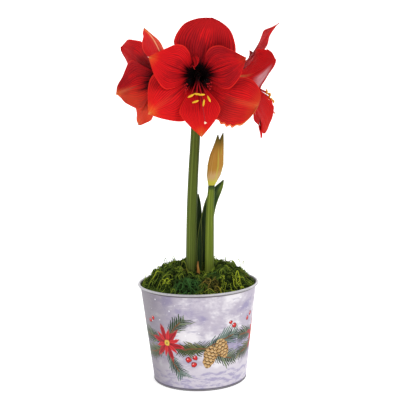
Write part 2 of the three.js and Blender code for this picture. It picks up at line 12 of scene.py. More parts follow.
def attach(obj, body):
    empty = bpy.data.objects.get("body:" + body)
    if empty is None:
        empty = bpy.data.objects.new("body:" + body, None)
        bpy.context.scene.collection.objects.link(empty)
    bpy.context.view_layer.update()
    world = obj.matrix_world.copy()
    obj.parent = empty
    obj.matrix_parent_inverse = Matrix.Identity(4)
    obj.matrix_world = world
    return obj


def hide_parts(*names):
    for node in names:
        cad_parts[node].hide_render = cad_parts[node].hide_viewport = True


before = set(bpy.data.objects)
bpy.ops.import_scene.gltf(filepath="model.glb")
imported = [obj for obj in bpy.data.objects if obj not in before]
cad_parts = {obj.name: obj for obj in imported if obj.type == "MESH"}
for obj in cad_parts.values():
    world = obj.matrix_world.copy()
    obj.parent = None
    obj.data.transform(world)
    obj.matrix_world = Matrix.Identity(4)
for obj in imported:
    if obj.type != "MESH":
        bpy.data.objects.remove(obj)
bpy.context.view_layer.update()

MM = 0.001  # every length below is in millimetres, and meshes are written in metres
FULL_TURN = 2 * math.pi
BODY = "root"
GAP = 0.3  # left between solids that touch

# The camera stands where the photograph was taken from
CAMERA_PLACE = (15.7, -1127, 389.4)
CAMERA_TILT = 7.685
CAMERA_ROLL = 1.146
CAMERA_LENS = 71.84


def lerp(a, b, share):
    return a + (b - a) * share


def ease(x, low, high):
    """0 below low, 1 above high, and smooth between."""
    share = np.clip((x - low) / (high - low), 0, 1)
    return share * share * (3 - 2 * share)


def unit(vectors):
    return vectors / np.linalg.norm(vectors, axis=-1, keepdims=True)


def cos_sin(degrees):
    return math.cos(math.radians(degrees)), math.sin(math.radians(degrees))


def around(sides):
    """Angles spaced evenly round a ring."""
    return np.arange(sides) / sides * FULL_TURN


def polar(r, angle):
    return r * np.cos(angle), r * np.sin(angle)


def xyz(x, y, z):
    """Rows of three from values or arrays of them."""
    return np.stack(np.broadcast_arrays(x, y, z), axis=-1)


def add_object(name, data):
    thing = bpy.data.objects.new(name, data)
    bpy.context.scene.collection.objects.link(thing)
    return thing


# Curves

def spline(points, at):
    """A centripetal Catmull-Rom curve through points, at shares from 0 to 1 of its spans."""
    points = np.asarray(points, float)
    padded = np.vstack([2 * points[0] - points[1], points, 2 * points[-1] - points[-2]])
    spans = len(points) - 1
    place = np.clip(np.asarray(at, float), 0, 1) * spans
    first = np.minimum(place.astype(int), spans - 1)
    w = (place - first)[..., None]
    p0, p1, p2, p3 = (padded[first + k] for k in range(4))
    d0, d1, d2 = (
        np.sqrt(np.linalg.norm(b - a, axis=-1, keepdims=True)) for a, b in ((p0, p1), (p1, p2), (p2, p3))
    )
    start = ((p1 - p0) / d0 - (p2 - p0) / (d0 + d1) + (p2 - p1) / d1) * d1
    end = ((p2 - p1) / d1 - (p3 - p1) / (d1 + d2) + (p3 - p2) / d2) * d1
    return (
        p1
        + start * w
        + (-3 * p1 + 3 * p2 - 2 * start - end) * w**2
        + (2 * p1 - 2 * p2 + start + end) * w**3
    )


def even_spline(points, count):
    """count + 1 points spaced evenly along the same curve."""
    dense = spline(points, np.linspace(0, 1, 400))
    length = np.concatenate([[0], np.cumsum(np.linalg.norm(np.diff(dense, axis=0), axis=1))])
    wanted = np.linspace(0, length[-1], count + 1)
    return np.stack([np.interp(wanted, length, dense[:, k]) for k in range(3)], axis=1)


# Meshes

class Shape:
    """Points, faces and named values on the points, gathered before they become one piece."""

    def __init__(self):
        self.points = []
        self.faces = {3: [], 4: []}
        self.values = []
        self.count = 0

    def add(self, points, faces, **values):
        points = np.asarray(points, float).reshape(-1, 3)
        for block in faces:
            block = np.asarray(block, np.int64)
            self.faces[block.shape[1]].append(block + self.count)
        filled = {k: np.broadcast_to(np.asarray(v, float).ravel(), len(points)) for k, v in values.items()}
        self.points.append(points)
        self.values.append((len(points), filled))
        self.count += len(points)

    def piece(self, name, material, slot, *nodes):
        """Makes the object, lets it ride on the body, and has it stand for the CAD nodes."""
        mesh = bpy.data.meshes.new(name)
        faces = [face for found in self.faces.values() for block in found for face in block.tolist()]
        mesh.from_pydata((np.concatenate(self.points) * MM).tolist(), [], faces)
        for key in sorted({key for _, filled in self.values for key in filled}):
            parts = [filled.get(key, np.zeros(count)) for count, filled in self.values]
            attribute = mesh.attributes.new(key, "FLOAT", "POINT")
            attribute.data.foreach_set("value", np.concatenate(parts).astype(np.float32))
        mesh.shade_smooth()
        mesh.materials.append(material)
        piece = add_object(name, mesh)
        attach(piece, BODY)
        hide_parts(*nodes)


def grid_faces(rows, columns, closed=False):
    """Quads of a grid of points in rows, with the last column joined to the first where it is closed."""
    ahead = np.arange(columns) if closed else np.arange(columns - 1)
    beside = (ahead + 1) % columns
    start = np.arange(rows - 1)[:, None] * columns
    corners = [start + ahead, start + beside, start + columns + beside, start + columns + ahead]
    return np.stack(corners, axis=-1).reshape(-1, 4)


def add_rings(shape, rings, **values):
    """A closed body from rings of points that run counter-clockwise about the way they go."""
    rows, sides = rings.shape[:2]
    last = rows * sides

    def with_ends(value):
        """A value for each point of the rings and, as their mean, for the middle of the first and last."""
        value = np.asarray(value, float)
        return np.concatenate([value.reshape(last, -1), [value[0].mean(axis=0)], [value[-1].mean(axis=0)]])

    ring = np.arange(sides)
    after = (ring + 1) % sides
    foot = xyz(after, ring, last)
    top = xyz(ring + last - sides, after + last - sides, last + 1)
    filled = {k: with_ends(np.broadcast_to(v, (rows, sides))[..., None]) for k, v in values.items()}
    shape.add(with_ends(rings), [grid_faces(rows, sides, closed=True), foot, top], **filled)


def ring_frames(line):
    """Two directions across a line at each of its points, carried along it without twisting."""
    ahead = unit(np.gradient(line, axis=0))
    guide = np.array([1.0, 0, 0]) if abs(ahead[0][0]) < 0.9 else np.array([0, 1.0, 0])
    wide = []
    for direction in ahead:
        guide = guide - direction * (guide @ direction)
        guide = guide / np.linalg.norm(guide)
        wide.append(guide)
    wide = np.array(wide)
    return wide, np.cross(ahead, wide)


def add_tube(shape, points, radii, sides, steps, flatness=1, level=False, shaping=None):
    """A closed tube through points. shaping(share, angle) scales its radius. level keeps its rings flat."""
    line = even_spline(points, steps)
    wide, deep = np.eye(3)[:2, None] if level else ring_frames(line)
    share = np.linspace(0, 1, steps + 1)[:, None]
    angle = around(sides)[None, :]
    radius = np.interp(share, np.linspace(0, 1, len(radii)), radii)
    if shaping:
        radius = radius * shaping(share, angle)
    across, up = polar(radius, angle)
    rings = line[:, None] + wide[:, None] * across[..., None] + deep[:, None] * (flatness * up)[..., None]
    add_rings(shape, rings, along=share, east=np.cos(angle), north=np.sin(angle))


def add_sheet(shape, surface, long, wide, thickness, **values):
    """A thin closed sheet. surface(t, v) gives points for t along and v from -1 to 1 across. The thickness
    is a function of t and v, and the values may be."""
    u = np.linspace(0, 1, long + 1)[:, None]
    t = lerp(u, np.sin(u * math.pi / 2), 0.6)  # closer together towards the tip
    t, v = np.broadcast_arrays(t, np.linspace(-1, 1, wide + 1)[None, :])
    step = 1e-3
    along = surface(np.minimum(t + step, 1), v) - surface(np.maximum(t - step, 0), v)
    across = surface(t, np.minimum(v + step, 1)) - surface(t, np.maximum(v - step, -1))
    middle = surface(t, v)
    half = unit(np.cross(across, along)) * (thickness(t, v) / 2)[..., None]
    behind = t.size
    quads = grid_faces(*t.shape)
    index = np.arange(behind).reshape(t.shape)
    edge = np.concatenate([index[:, 0], index[-1, 1:], index[-2::-1, -1], index[0, -2:0:-1]])
    after = np.roll(edge, -1)
    wall = np.stack([edge, after, after + behind, edge + behind], axis=1)
    filled = {"along": t, "across": v}
    filled.update({k: f(t, v) if callable(f) else np.full_like(t, f) for k, f in values.items()})
    filled = {k: np.stack([f, f]) for k, f in filled.items()}
    front = np.repeat([1.0, 0.0], behind)
    shape.add(np.stack([middle + half, middle - half]), [quads, quads[:, ::-1] + behind, wall],
              front=front, **filled)


# Shader arithmetic

def feed(socket, value):
    """Links a shader value to a socket, or sets the socket to a plain value."""
    if isinstance(value, Number):
        socket.id_data.links.new(value.socket, socket)
    else:
        socket.default_value = value


def add_node(tree, kind, inputs, output=0, **settings):
    """A new shader node with its inputs linked or set. Gives one of its outputs."""
    node = tree.nodes.new("ShaderNode" + kind)
    for name, value in settings.items():
        setattr(node, name, value)
    for name, value in inputs.items():
        feed(node.inputs[name], value)
    return Number(node.outputs[output])


class Number:
    """A shader value that can be added, multiplied and eased like a number."""

    def __init__(self, socket):
        self.socket = socket

    def node(self, kind, inputs, output=0, **settings):
        return add_node(self.socket.id_data, kind, inputs, output, **settings)

    def apply(self, operation, *others):
        return self.node("Math", dict(enumerate((self, *others))), operation=operation)

    __add__ = __radd__ = partialmethod(apply, "ADD")
    __sub__ = partialmethod(apply, "SUBTRACT")
    __mul__ = __rmul__ = partialmethod(apply, "MULTIPLY")
    __truediv__ = partialmethod(apply, "DIVIDE")
    __pow__ = partialmethod(apply, "POWER")
    __abs__ = partialmethod(apply, "ABSOLUTE")
    sin = partialmethod(apply, "SINE")
    sign = partialmethod(apply, "SIGN")
    floor = partialmethod(apply, "FLOOR")
    fract = partialmethod(apply, "FRACT")
    angle = partialmethod(apply, "ARCTAN2")
    above = partialmethod(apply, "MAXIMUM")
    below = partialmethod(apply, "MINIMUM")

    def __rsub__(self, other):
        return self * -1 + other

    def ease(self, start, end):
        """0 up to start, 1 from end on, and smooth between. Where end is the lower, it runs downwards."""
        inputs = {"Value": self, "From Min": start, "From Max": end}
        return self.node("MapRange", inputs, "Result", interpolation_type="SMOOTHSTEP")


class Look:
    """One material. Its colour is laid down in layers, each where a mask is 1."""

    def __init__(self, name, roughness, shine=0.5, **sockets):
        self.material = bpy.data.materials.new(name)
        self.material.use_nodes = True
        self.tree = self.material.node_tree
        self.set("Roughness", roughness)
        self.set("Specular IOR Level", shine)
        for socket, value in sockets.items():
            self.set(socket.replace("_", " "), value)
        self.colour = None
        place = add_node(self.tree, "TexCoord", {}, "Object")
        scaled = add_node(self.tree, "VectorMath", {0: place, "Scale": 1 / MM}, operation="SCALE")
        parts = add_node(self.tree, "SeparateXYZ", {0: scaled}).socket.node.outputs
        self.x, self.y, self.z = map(Number, parts)

    def set(self, socket, value):
        feed(self.tree.nodes["Principled BSDF"].inputs[socket], value)

    def values(self, names):
        """The named values on the points."""
        return [add_node(self.tree, "Attribute", {}, "Fac", attribute_name=name) for name in names.split()]

    def noise(self, x, y=0, z=0, scale=1, detail=2, rough=0.5):
        """Cloudy noise from 0 to 1 at a place given in millimetres or in any other measure."""
        place = add_node(self.tree, "CombineXYZ", {0: x, 1: y, 2: z})
        inputs = {"Vector": place, "Scale": scale, "Detail": detail, "Roughness": rough}
        return add_node(self.tree, "TexNoise", inputs, "Fac")

    def grain(self, scale, detail=2, rough=0.5, squash=1):
        """The same noise at the place itself, squashed along z."""
        z = self.z if squash == 1 else self.z * squash
        return self.noise(self.x, self.y, z, scale, detail, rough)

    def cells(self, x, y, z, scale):
        """Distance to the nearest of scattered points, in the cells' own measure."""
        place = add_node(self.tree, "CombineXYZ", {0: x, 1: y, 2: z})
        return add_node(self.tree, "TexVoronoi", {"Vector": place, "Scale": scale}, "Distance")

    def coat(self, colour, mask=None):
        """Lays a colour over what is there, as far as the mask says."""
        colour = (*colour, 1)
        if mask:
            inputs = {"Factor": mask, 6: self.colour, 7: colour}
            colour = add_node(self.tree, "Mix", inputs, 2, data_type="RGBA")
        self.colour = colour

    def done(self, height=None, depth=0):
        """The finished material, with bumps that are depth high."""
        if height:
            self.set("Normal", add_node(self.tree, "Bump", {"Distance": depth * MM, "Height": height}))
        self.set("Base Color", self.colour)
        return self.material


# Pot

POT_HEIGHT = 135.8
FOOT_RADIUS = 64.3
NECK_RADIUS = 80.2
WALL = 1.0
FLOOR = 1.4
RIM_BEAD = 1.7
RIM_OUTSIDE = 4.4
SEAM_BEAD = 1.0
POT_SIDES = 180
LAP = {"height": 0.5, "half": 2.6}  # the lapped joint up its back


def wall_radius(z):
    return lerp(FOOT_RADIUS, NECK_RADIUS, z / POT_HEIGHT)


def inside_radius(z):
    return wall_radius(z) - WALL


def arc(centre_r, centre_z, radius, start, end, steps):
    angle = np.radians(np.linspace(start, end, steps + 1))
    return [(centre_r + radius * math.cos(a), centre_z + radius * math.sin(a)) for a in angle]


def build_pot():
    # the section from the underside, up the outside, over the rim and down inside
    rim_z = POT_HEIGHT - RIM_BEAD
    rim_r = inside_radius(rim_z) + RIM_OUTSIDE - RIM_BEAD
    outside = [(40, 0.4), (FOOT_RADIUS - 4, 0.4), (FOOT_RADIUS - 2.4, 0)]
    outside += arc(FOOT_RADIUS - SEAM_BEAD / 2, SEAM_BEAD, SEAM_BEAD, -90, 60, 8)
    outside += [(wall_radius(z), z) for z in np.linspace(SEAM_BEAD * 3, rim_z - RIM_BEAD * 1.3, 46)]
    outside += arc(rim_r, rim_z, RIM_BEAD, -60, 180, 18)
    inside = [(inside_radius(z), z) for z in np.linspace(rim_z - 4, FLOOR, 10)]
    section = np.array(outside + inside)
    angle = around(POT_SIDES)
    r, z = section.T[..., None]
    # thin sheet metal is never quite round
    dent = 0.18 * np.sin(3 * angle + 0.03 * z) + 0.12 * np.sin(7 * angle - 0.05 * z + 1)
    lap = LAP["height"] * np.exp(-(((angle - math.pi / 2) * r / LAP["half"]) ** 2))
    r = r + (dent + lap) * ((z > 4) & (z < POT_HEIGHT - 7))
    printed = (z > 2) & (z < POT_HEIGHT - 3.6) & (np.arange(len(section))[:, None] < len(outside))
    shape = Shape()
    add_rings(shape, xyz(*polar(r, angle), z), printed=printed)
    shape.piece("tin_pot", tin_look(), "painted_tin", "pot")


PRINT_REPEATS = 3
PRINT_RADIUS = 72.0
PRINT_WIDTH = FULL_TURN * PRINT_RADIUS / PRINT_REPEATS
NEEDLE_STEP = 3.9
NEEDLE_LEAN = 1.2
FLOWER = (-27, 66)
# Each spray of needles: its foot, heading in degrees, length, needle length and bend
SPRAYS = [
    ((-30, 66), 163, 50, 13, 0.004),
    ((-30, 60), 212, 48, 13, -0.005),
    ((-26, 54), -72, 38, 12, 0.006),
    ((-24, 74), 60, 36, 12, -0.006),
    ((-16, 60), -12, 44, 12, 0.006),
    ((30, 62), 28, 48, 13, -0.004),
    ((28, 58), -32, 50, 13, 0.004),
    ((28, 60), 174, 38, 11, 0.005),
]
# Their darker and paler greens, in turn
GREENS = [
    ((0.022, 0.045, 0.016), (0.14, 0.19, 0.085)),
    ((0.04, 0.058, 0.014), (0.18, 0.18, 0.055)),
    ((0.018, 0.048, 0.036), (0.13, 0.21, 0.17)),
]
CONES = [((33, 48), -108, 17, 11), ((51, 58), -66, 15, 10)]
BERRIES = [
    (4, 45, 4.6), (11, 38, 4.2), (13, 48, 3.8), (-56, 92, 3.6), (-49, 97, 3.4), (68, 88, 3.8), (62, 93, 3.2),
]


def turned(x, y, centre, heading):
    """A place on the print in the frame of a motif that points along heading."""
    c, s = cos_sin(heading)
    dx, dy = x - centre[0], y - centre[1]
    return dx * c + dy * s, dy * c - dx * s


def distance(x, y, centre):
    dx, dy = x - centre[0], y - centre[1]
    return (dx * dx + dy * dy) ** 0.5


def paint_spray(look, x, y, foot, heading, length, needle, bend, green, pale_green):
    """Conifer needles that lean forward along a bent twig, over their shaded mass."""
    u, w = turned(x, y, foot, heading)
    w = w - u * u * bend
    side, sign = abs(w), w.sign()
    root = u - side * NEEDLE_LEAN
    place = root / NEEDLE_STEP + sign * 0.25 + look.noise(u, w, foot[0], 0.08) * 0.9
    tone = look.noise(place.floor() * 7.3, sign * 5.1, foot[1] * 1.7, detail=0)
    envelope = ((length - root) * (root + 3)).above(0) ** 0.5 * (2 * needle / length)
    spare = envelope * (tone + 0.45) - side
    slim = spare / needle * 0.6 + 0.16
    needles = (slim.below(0.4) - abs(place.fract() - 0.5)).ease(0, 0.12) * spare.ease(0, 1.2)
    end = length * 0.85
    look.coat((0.07, 0.09, 0.05), (envelope * 0.62 - side).ease(0, 4) * 0.75)
    look.coat(green, needles * 0.95)
    look.coat(pale_green, needles * tone.ease(0.52, 0.64) * 0.85)
    look.coat((0.16, 0.07, 0.03), side.ease(1.2, 0.6) * u.ease(-1, 2) * u.ease(end, end - 3))


def paint_star(look, x, y, radius, turn, tone, dark):
    """A star of six pointed petals with mid-lines and a shaded heart."""
    dx, dy = x - FLOWER[0], y - FLOWER[1]
    far = distance(x, y, FLOWER)
    swing = abs(((dy.angle(dx) + math.radians(turn)) * 3).sin())
    star = ((1 - swing) ** 0.55 * radius - far).ease(0, 1.4)
    look.coat(tone, star)
    look.coat((0.78, 0.16, 0.13), star * far.ease(radius * 0.72, radius * 0.72 + 4) * 0.5)
    look.coat(dark, star * swing.ease(0.16, 0.04) * 0.75)
    look.coat(dark, star * far.ease(radius * 0.45, radius * 0.45 - 8) * 0.6)


def paint_cone(look, x, y, centre, heading, long, wide):
    """A fir cone with overlapping scales, darker round its side."""
    u, w = turned(x, y, centre, heading)
    along = u / long
    girth = w / wide / (along * -0.22 + 0.9)
    body = (along * along + girth * girth).below(4).ease(1, 0.82)
    row = u / 4.4
    column = (w / 5.6 + row.floor() * 0.5).fract() - 0.5
    scales = (row.fract() - abs(column) * 0.9).fract()
    look.coat((0.1, 0.045, 0.018), body)
    look.coat((0.46, 0.27, 0.1), body * scales.ease(0.22, 0.5))
    look.coat((0.68, 0.5, 0.26), body * scales.ease(0.66, 0.92) * abs(girth).ease(0.8, 0.4))


def paint_sky(look, x, z):
    """A lavender wash with drifting cloud, falling snow, a misty line of hills and snow banks, and painted
    shade on the pot's left side.
    """
    cloud = look.grain(0.02, 5, 0.6, squash=1.3)
    brush = look.grain(0.07, 4, 0.7, squash=3.5)
    look.coat((0.44, 0.4, 0.48))
    look.coat((0.72, 0.69, 0.72), cloud.ease(0.46, 0.62))
    look.coat((0.25, 0.22, 0.38), cloud.ease(0.46, 0.33) * 0.75)
    look.coat((0.74, 0.71, 0.74), brush.ease(0.56, 0.7) * 0.55)
    look.coat((0.3, 0.27, 0.4), brush.ease(0.44, 0.34) * 0.5)
    over_hill = z - (look.noise(x * 0.03, 4, 2, detail=3) * 34 + 56)
    look.coat((0.2, 0.18, 0.34), over_hill.ease(0, -5) * over_hill.ease(-34, -4) * 0.5)
    in_bank = look.noise(x * 0.035, 9, 1) * 26 + 20 - z
    look.coat((0.58, 0.54, 0.6), in_bank.ease(-3, 3) * 0.9)
    look.coat((0.28, 0.25, 0.42), in_bank.ease(5, 10) * brush.ease(0.44, 0.6) * 0.75)
    # painted shade darkening the pot's left side, and flakes
    look.coat((0.17, 0.15, 0.18), look.x.ease(-15, -75) * 0.88)
    look.coat((0.85, 0.85, 0.88), look.cells(x, z, 5, 0.1).ease(0.12, 0.07) * z.ease(44, 60) * 0.8)


def paint_berries(look, x, y):
    for bx, by, size in BERRIES:
        far = distance(x, y, (bx, by))
        look.coat((0.22, 0.008, 0.012), far.ease(size, size - 0.8))
        look.coat((0.6, 0.03, 0.03), far.ease(size * 0.75, size * 0.75 - 1.2))
        look.coat((0.9, 0.62, 0.6), distance(x, y, (bx - 1.2, by + 1.3)).ease(1.2, 0.4) * 0.8)


def tin_look():
    look = Look("printed_tin", 0.5, shine=0.15)
    (printed,) = look.values("printed")
    turns = look.x.angle(look.y * -1) / FULL_TURN
    cell = (turns * PRINT_REPEATS + 0.62).fract() - 0.5
    # an unsteady hand
    x = cell * PRINT_WIDTH + (look.grain(0.16) - 0.5) * 4
    y = look.z + (look.noise(look.x, look.y, look.z + 400, 0.16) - 0.5) * 4
    paint_sky(look, turns * (FULL_TURN * PRINT_RADIUS), look.z)
    for number, sprig in enumerate(SPRAYS):
        paint_spray(look, x, y, *sprig, *GREENS[number % 3])
    for motif in CONES:
        paint_cone(look, x, y, *motif)
    paint_star(look, x, y, 28, 12, (0.38, 0.014, 0.022), (0.13, 0.006, 0.012))
    paint_star(look, x, y, 21, 42, (0.6, 0.028, 0.032), (0.26, 0.01, 0.018))
    heart = distance(x, y, FLOWER)
    look.coat((0.66, 0.46, 0.07), heart.ease(4.4, 3.6))
    look.coat((0.25, 0.2, 0.03), heart.ease(2, 1.2))
    paint_berries(look, x, y)

    # bare zinc at the rim, the seam and inside, with painted shade on the beads' lower side and inside, and a
    # painted shadow under the rim bead
    bare = 1 - printed
    look.coat((0.52, 0.51, 0.53), bare)
    look.coat((0.3, 0.3, 0.33), bare * look.grain(0.35, 3).ease(0.5, 0.7) * 0.5)
    # painted shade on all bare metal below the rim's top: the bead's lower half, the inside and the seam bead
    look.coat((0.14, 0.13, 0.14), bare * look.z.ease(POT_HEIGHT - 1.5, POT_HEIGHT - 2.5) * 0.8)
    # a painted shadow line under the rim bead
    look.coat((0.05, 0.035, 0.04), abs(look.z - (POT_HEIGHT - 4.3)).ease(1, 0.3) * 0.85)
    # a dark line along the foot of the print, just above the seam bead
    look.coat((0.06, 0.05, 0.09), abs(look.z - 3).ease(1.2, 0.3) * 0.85)
    look.set("Metallic", bare * 0.6)
    return look.done(look.grain(0.9, 3), 0.06)


# Soil and bulb stay as packed, out of sight under the moss

def grainy_look(name, roughness, base, light, grain, light_from, depth):
    """Two colours and a bump that follow one noise."""
    look = Look(name, roughness)
    clods = look.grain(**grain)
    look.coat(base)
    look.coat(light, clods.ease(*light_from))
    return look.done(clods, depth)


def dress(node, material):
    node.data.materials.clear()
    node.data.materials.append(material)


# Moss

SOIL_TOP = 118
MOSS_CROWN = 163.5
MOSS_EDGE = 131
MOSS_DIP = {"x": 3, "y": -26, "depth": 12, "spread": 23}
MOSS_SINK = 11  # how far the mat and the strands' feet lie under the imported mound's surface
STRAND_STEPS = 8
FROND_COUNT = 1100
CURL_COUNT = 3300
STRAY_COUNT = 18
# Other tones in the moss: spots at x, y with a reach, the colour, the value it begins at, the lightness it
# needs and its strength
MOSS_PATCHES = {
    "lime": ([(-43, -46, 9), (42, -50, 11), (55, -38, 12), (-60, -20, 8), (26, -66, 10), (20, 40, 14)],
             (0.62, 0.72, 0.05), 0.4, (0.45, 0.9), 1),
    "emerald": ([(-18, -60, 16), (-6, -66, 12), (24, -40, 10), (-40, 30, 16)],
                (0.045, 0.17, 0.05), 0.4, (0.25, 0.8), 0.85),
    "brown": ([(14, -62, 10), (24, -62, 9), (-20, -22, 8), (40, 20, 10), (66, -10, 7)],
              (0.3, 0.17, 0.045), 0.5, (0.2, 0.75), 0.65),
}
STALK_FEET = [(-9.5, -10.5, 9), (15.2, -15.2, 8)]  # x, y and the radius kept free


def moss_top(x, y):
    """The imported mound's height, which dips before the stalks, with the smaller clumps of real moss."""
    share = np.hypot(x, y) / inside_radius(MOSS_EDGE)
    fall = (MOSS_CROWN - MOSS_EDGE) * share**3.7
    away = ((x - MOSS_DIP["x"]) ** 2 + (y - MOSS_DIP["y"]) ** 2) / MOSS_DIP["spread"] ** 2
    broad = np.sin(x * 0.21 + 1.3 * np.sin(y * 0.13)) * np.sin(y * 0.19 + 0.7)
    fine = np.sin(x * 0.43 + y * 0.31) * np.sin(y * 0.47 - x * 0.17 + 2)
    dip = MOSS_DIP["depth"] * np.exp(-away)
    mound = MOSS_CROWN - fall - dip + 2.2 * (broad + 0.6 * fine) * (1 - share**8)
    clumps = np.sin(0.46 * x + 1.7 * np.sin(0.31 * y)) * np.sin(0.43 * y + 0.8 * np.sin(0.29 * x) + 1.2)
    return mound + 2.0 * clumps * (1 - np.minimum(share, 1) ** 8)


def moss_tones(x, y):
    def tone(spots):
        near = sum(np.exp(-((x - px) ** 2 + (y - py) ** 2) / reach**2) for px, py, reach in spots)
        return np.clip(near, 0, 1)

    return {kind: tone(spots) for kind, (spots, *_) in MOSS_PATCHES.items()}


def moss_look():
    look = Look("sheet_moss", 0.8, shine=0.05)
    tone, along = look.values("tone along")
    # light is painted light and shade with random tone: lighter on strands that lie higher, near black on the
    # mat
    light = tone + (along - 0.5) * 0.25 + (look.grain(0.5, 3) - 0.5) * 0.35
    look.coat((0.006, 0.009, 0.003))
    look.coat((0.03, 0.055, 0.009), light.ease(0.15, 0.4))
    look.coat((0.1, 0.16, 0.022), light.ease(0.38, 0.66))
    look.coat((0.27, 0.36, 0.04), light.ease(0.66, 0.98))
    ragged = look.grain(0.16, 3, 0.6) - 0.5
    for kind, (_, colour, start, lit, strength) in MOSS_PATCHES.items():
        (patch,) = look.values(kind)
        look.coat(colour, (patch + ragged).ease(start, start + 0.4) * light.ease(*lit) * strength)
    return look.done(look.grain(2.2), 0.3)


def build_moss_mat(material):
    """The mat under the strands, near black as painted shade, closed down to the soil."""
    angle, rings = around(150), 46
    lip = inside_radius(MOSS_EDGE) - GAP
    x, y = polar(lip * (np.arange(1, rings + 1) / rings)[:, None] ** 0.85, angle)
    rough = 0.7 * np.sin(1.1 * x + 2 * np.sin(0.6 * y)) * np.sin(0.9 * y + 1)
    z = moss_top(x, y) - MOSS_SINK + (rough + 0.5 * np.sin(1.9 * x - 1.3 * y))
    z[-1] = MOSS_EDGE
    foot_z = SOIL_TOP + GAP
    foot = xyz(*polar(inside_radius(foot_z) - GAP, angle), foot_z)
    shape = Shape()
    # tone 0 paints the mat near black, as painted shade
    add_rings(shape, np.concatenate([foot[None], xyz(x, y, z)[::-1]]), tone=0.0, along=0.2)
    shape.piece("moss_mat", material, "moss", "moss")


def strand_lines(rng, count, length, lift, curl):
    """Lines that wander over the mound and arch up from it: points (count, STRAND_STEPS + 1, 3)."""
    lip = inside_radius(MOSS_EDGE) - 1.5
    r = lip * np.sqrt(rng.uniform(0, 1, count))
    direction = rng.uniform(0, FULL_TURN, count)
    reach = rng.uniform(*length, count)[:, None] / STRAND_STEPS
    turn = rng.uniform(-curl, curl, (count, 1)) / STRAND_STEPS
    step = np.arange(STRAND_STEPS + 1)
    share = step / STRAND_STEPS
    swing = rng.uniform(-0.5, 0.5, (count, 1))
    wobble = swing * np.sin(FULL_TURN * share * 1.3 + rng.uniform(0, 6, (count, 1)))
    heading = rng.uniform(0, FULL_TURN, (count, 1)) + turn * step + wobble
    feet, paces = polar(r, direction), polar(reach, heading)
    x, y = (foot[:, None] + np.cumsum(pace, axis=1) for foot, pace in zip(feet, paces))
    # nothing grows out over the rim
    squeeze = np.minimum(1, lip / np.hypot(x, y))
    x, y = x * squeeze, y * squeeze
    # strands pass round the stalks
    for sx, sy, keep in STALK_FEET:
        push = np.maximum(1, keep / np.maximum(np.hypot(x - sx, y - sy), 0.5))
        x, y = sx + (x - sx) * push, sy + (y - sy) * push
    height = rng.uniform(*lift, (count, 1))
    arch = height * np.sin(math.pi * (0.12 + 0.76 * share)) - MOSS_SINK + rng.uniform(-1.5, 2.5, (count, 1))
    low = np.clip((lip - np.hypot(x, y)) / 6, 0.15, 1)  # flatter at the rim
    return xyz(x, y, moss_top(x, y) + arch * low)


def strand_frames(lines):
    ahead = unit(np.gradient(lines, axis=1))
    side = unit(np.cross(ahead, [0, 0, 1.0]) + [1e-6, 0, 0])
    return ahead, side, np.cross(side, ahead)


def add_repeats(shape, points, faces, along, tones):
    """The same faces on each of many small bodies: points (count, places, corners, 3)."""
    size = points.shape[:3]
    spread = {k: np.broadcast_to(np.reshape(v, (-1, 1, 1)), size) for k, v in tones.items()}
    shape.add(points, faces, along=np.broadcast_to(along, size), **spread)


def add_strands(shape, lines, radius, tones):
    """Slim three-sided strands that taper to both ends."""
    count, places = lines.shape[:2]
    _, side, up = strand_frames(lines)
    share = np.linspace(0, 1, places)
    slim = radius[:, None] * (0.35 + 0.65 * np.sin(math.pi * np.clip(0.1 + 0.85 * share, 0, 1)))
    angle = around(3) + math.pi / 2
    wide, deep = polar(slim[..., None], angle)
    points = lines[:, :, None] + side[:, :, None] * wide[..., None] + up[:, :, None] * deep[..., None]
    per = places * 3
    start = np.arange(count)[:, None, None] * per
    quads = (grid_faces(places, 3, closed=True)[None] + start).reshape(-1, 4)[:, ::-1]
    caps = (np.array([[0, 1, 2], [per - 1, per - 2, per - 3]])[None] + start).reshape(-1, 3)
    add_repeats(shape, points, [quads, caps], share[None, :, None], tones)


def add_leaflets(shape, rng, lines, size, tones):
    """Pairs of tiny pointed leaves along each line, as thin wedges."""
    count, places = lines.shape[:2]
    ahead, side, up = strand_frames(lines)
    for way in (-1, 1):
        reach, lean, rise = (
            rng.uniform(*span, (count, places, 1)) for span in ((0.75, 1.25), (0.5, 1.0), (-0.1, 0.75))
        )
        out = unit(side * way + ahead * lean + up * rise)
        root = lines + up * 0.1
        corners = [root - ahead * size * 0.2, root + ahead * size * 0.24, root + out * (size * reach),
                   root - up * size * 0.16]
        faces = np.array([[0, 1, 2], [1, 0, 3], [0, 2, 3], [2, 1, 3]])[:, ::-way]
        start = np.arange(count * places)[:, None, None] * 4
        blocks = [(faces[None] + start).reshape(-1, 3)]
        # along paints each leaflet paler at its tip and, as painted shade, darker at the corner beneath
        add_repeats(shape, np.stack(corners, axis=2), blocks, np.array([0.3, 0.3, 1.0, 0.1]), tones)


def grow(shape, rng, count, length, lift, curl, radius, tone_spread=None):
    """Adds strands. Those that lie higher get a higher tone, painted light that makes them lighter and
    greener, and strays are pale.
    """
    lines = strand_lines(rng, count, length, lift, curl)
    x, y, z = lines[:, STRAND_STEPS // 2].T
    tone = np.full(count, 0.95)
    if tone_spread:
        # painted light: the higher a strand lies above the mound, the higher its tone and the lighter its
        # colour
        tone = np.clip(0.73 + 0.11 * (z - moss_top(x, y)) + rng.normal(0, tone_spread, count), 0, 1)
    tones = {"tone": tone, **moss_tones(x, y)}
    add_strands(shape, lines, rng.uniform(*radius, count), tones)
    return lines, tones


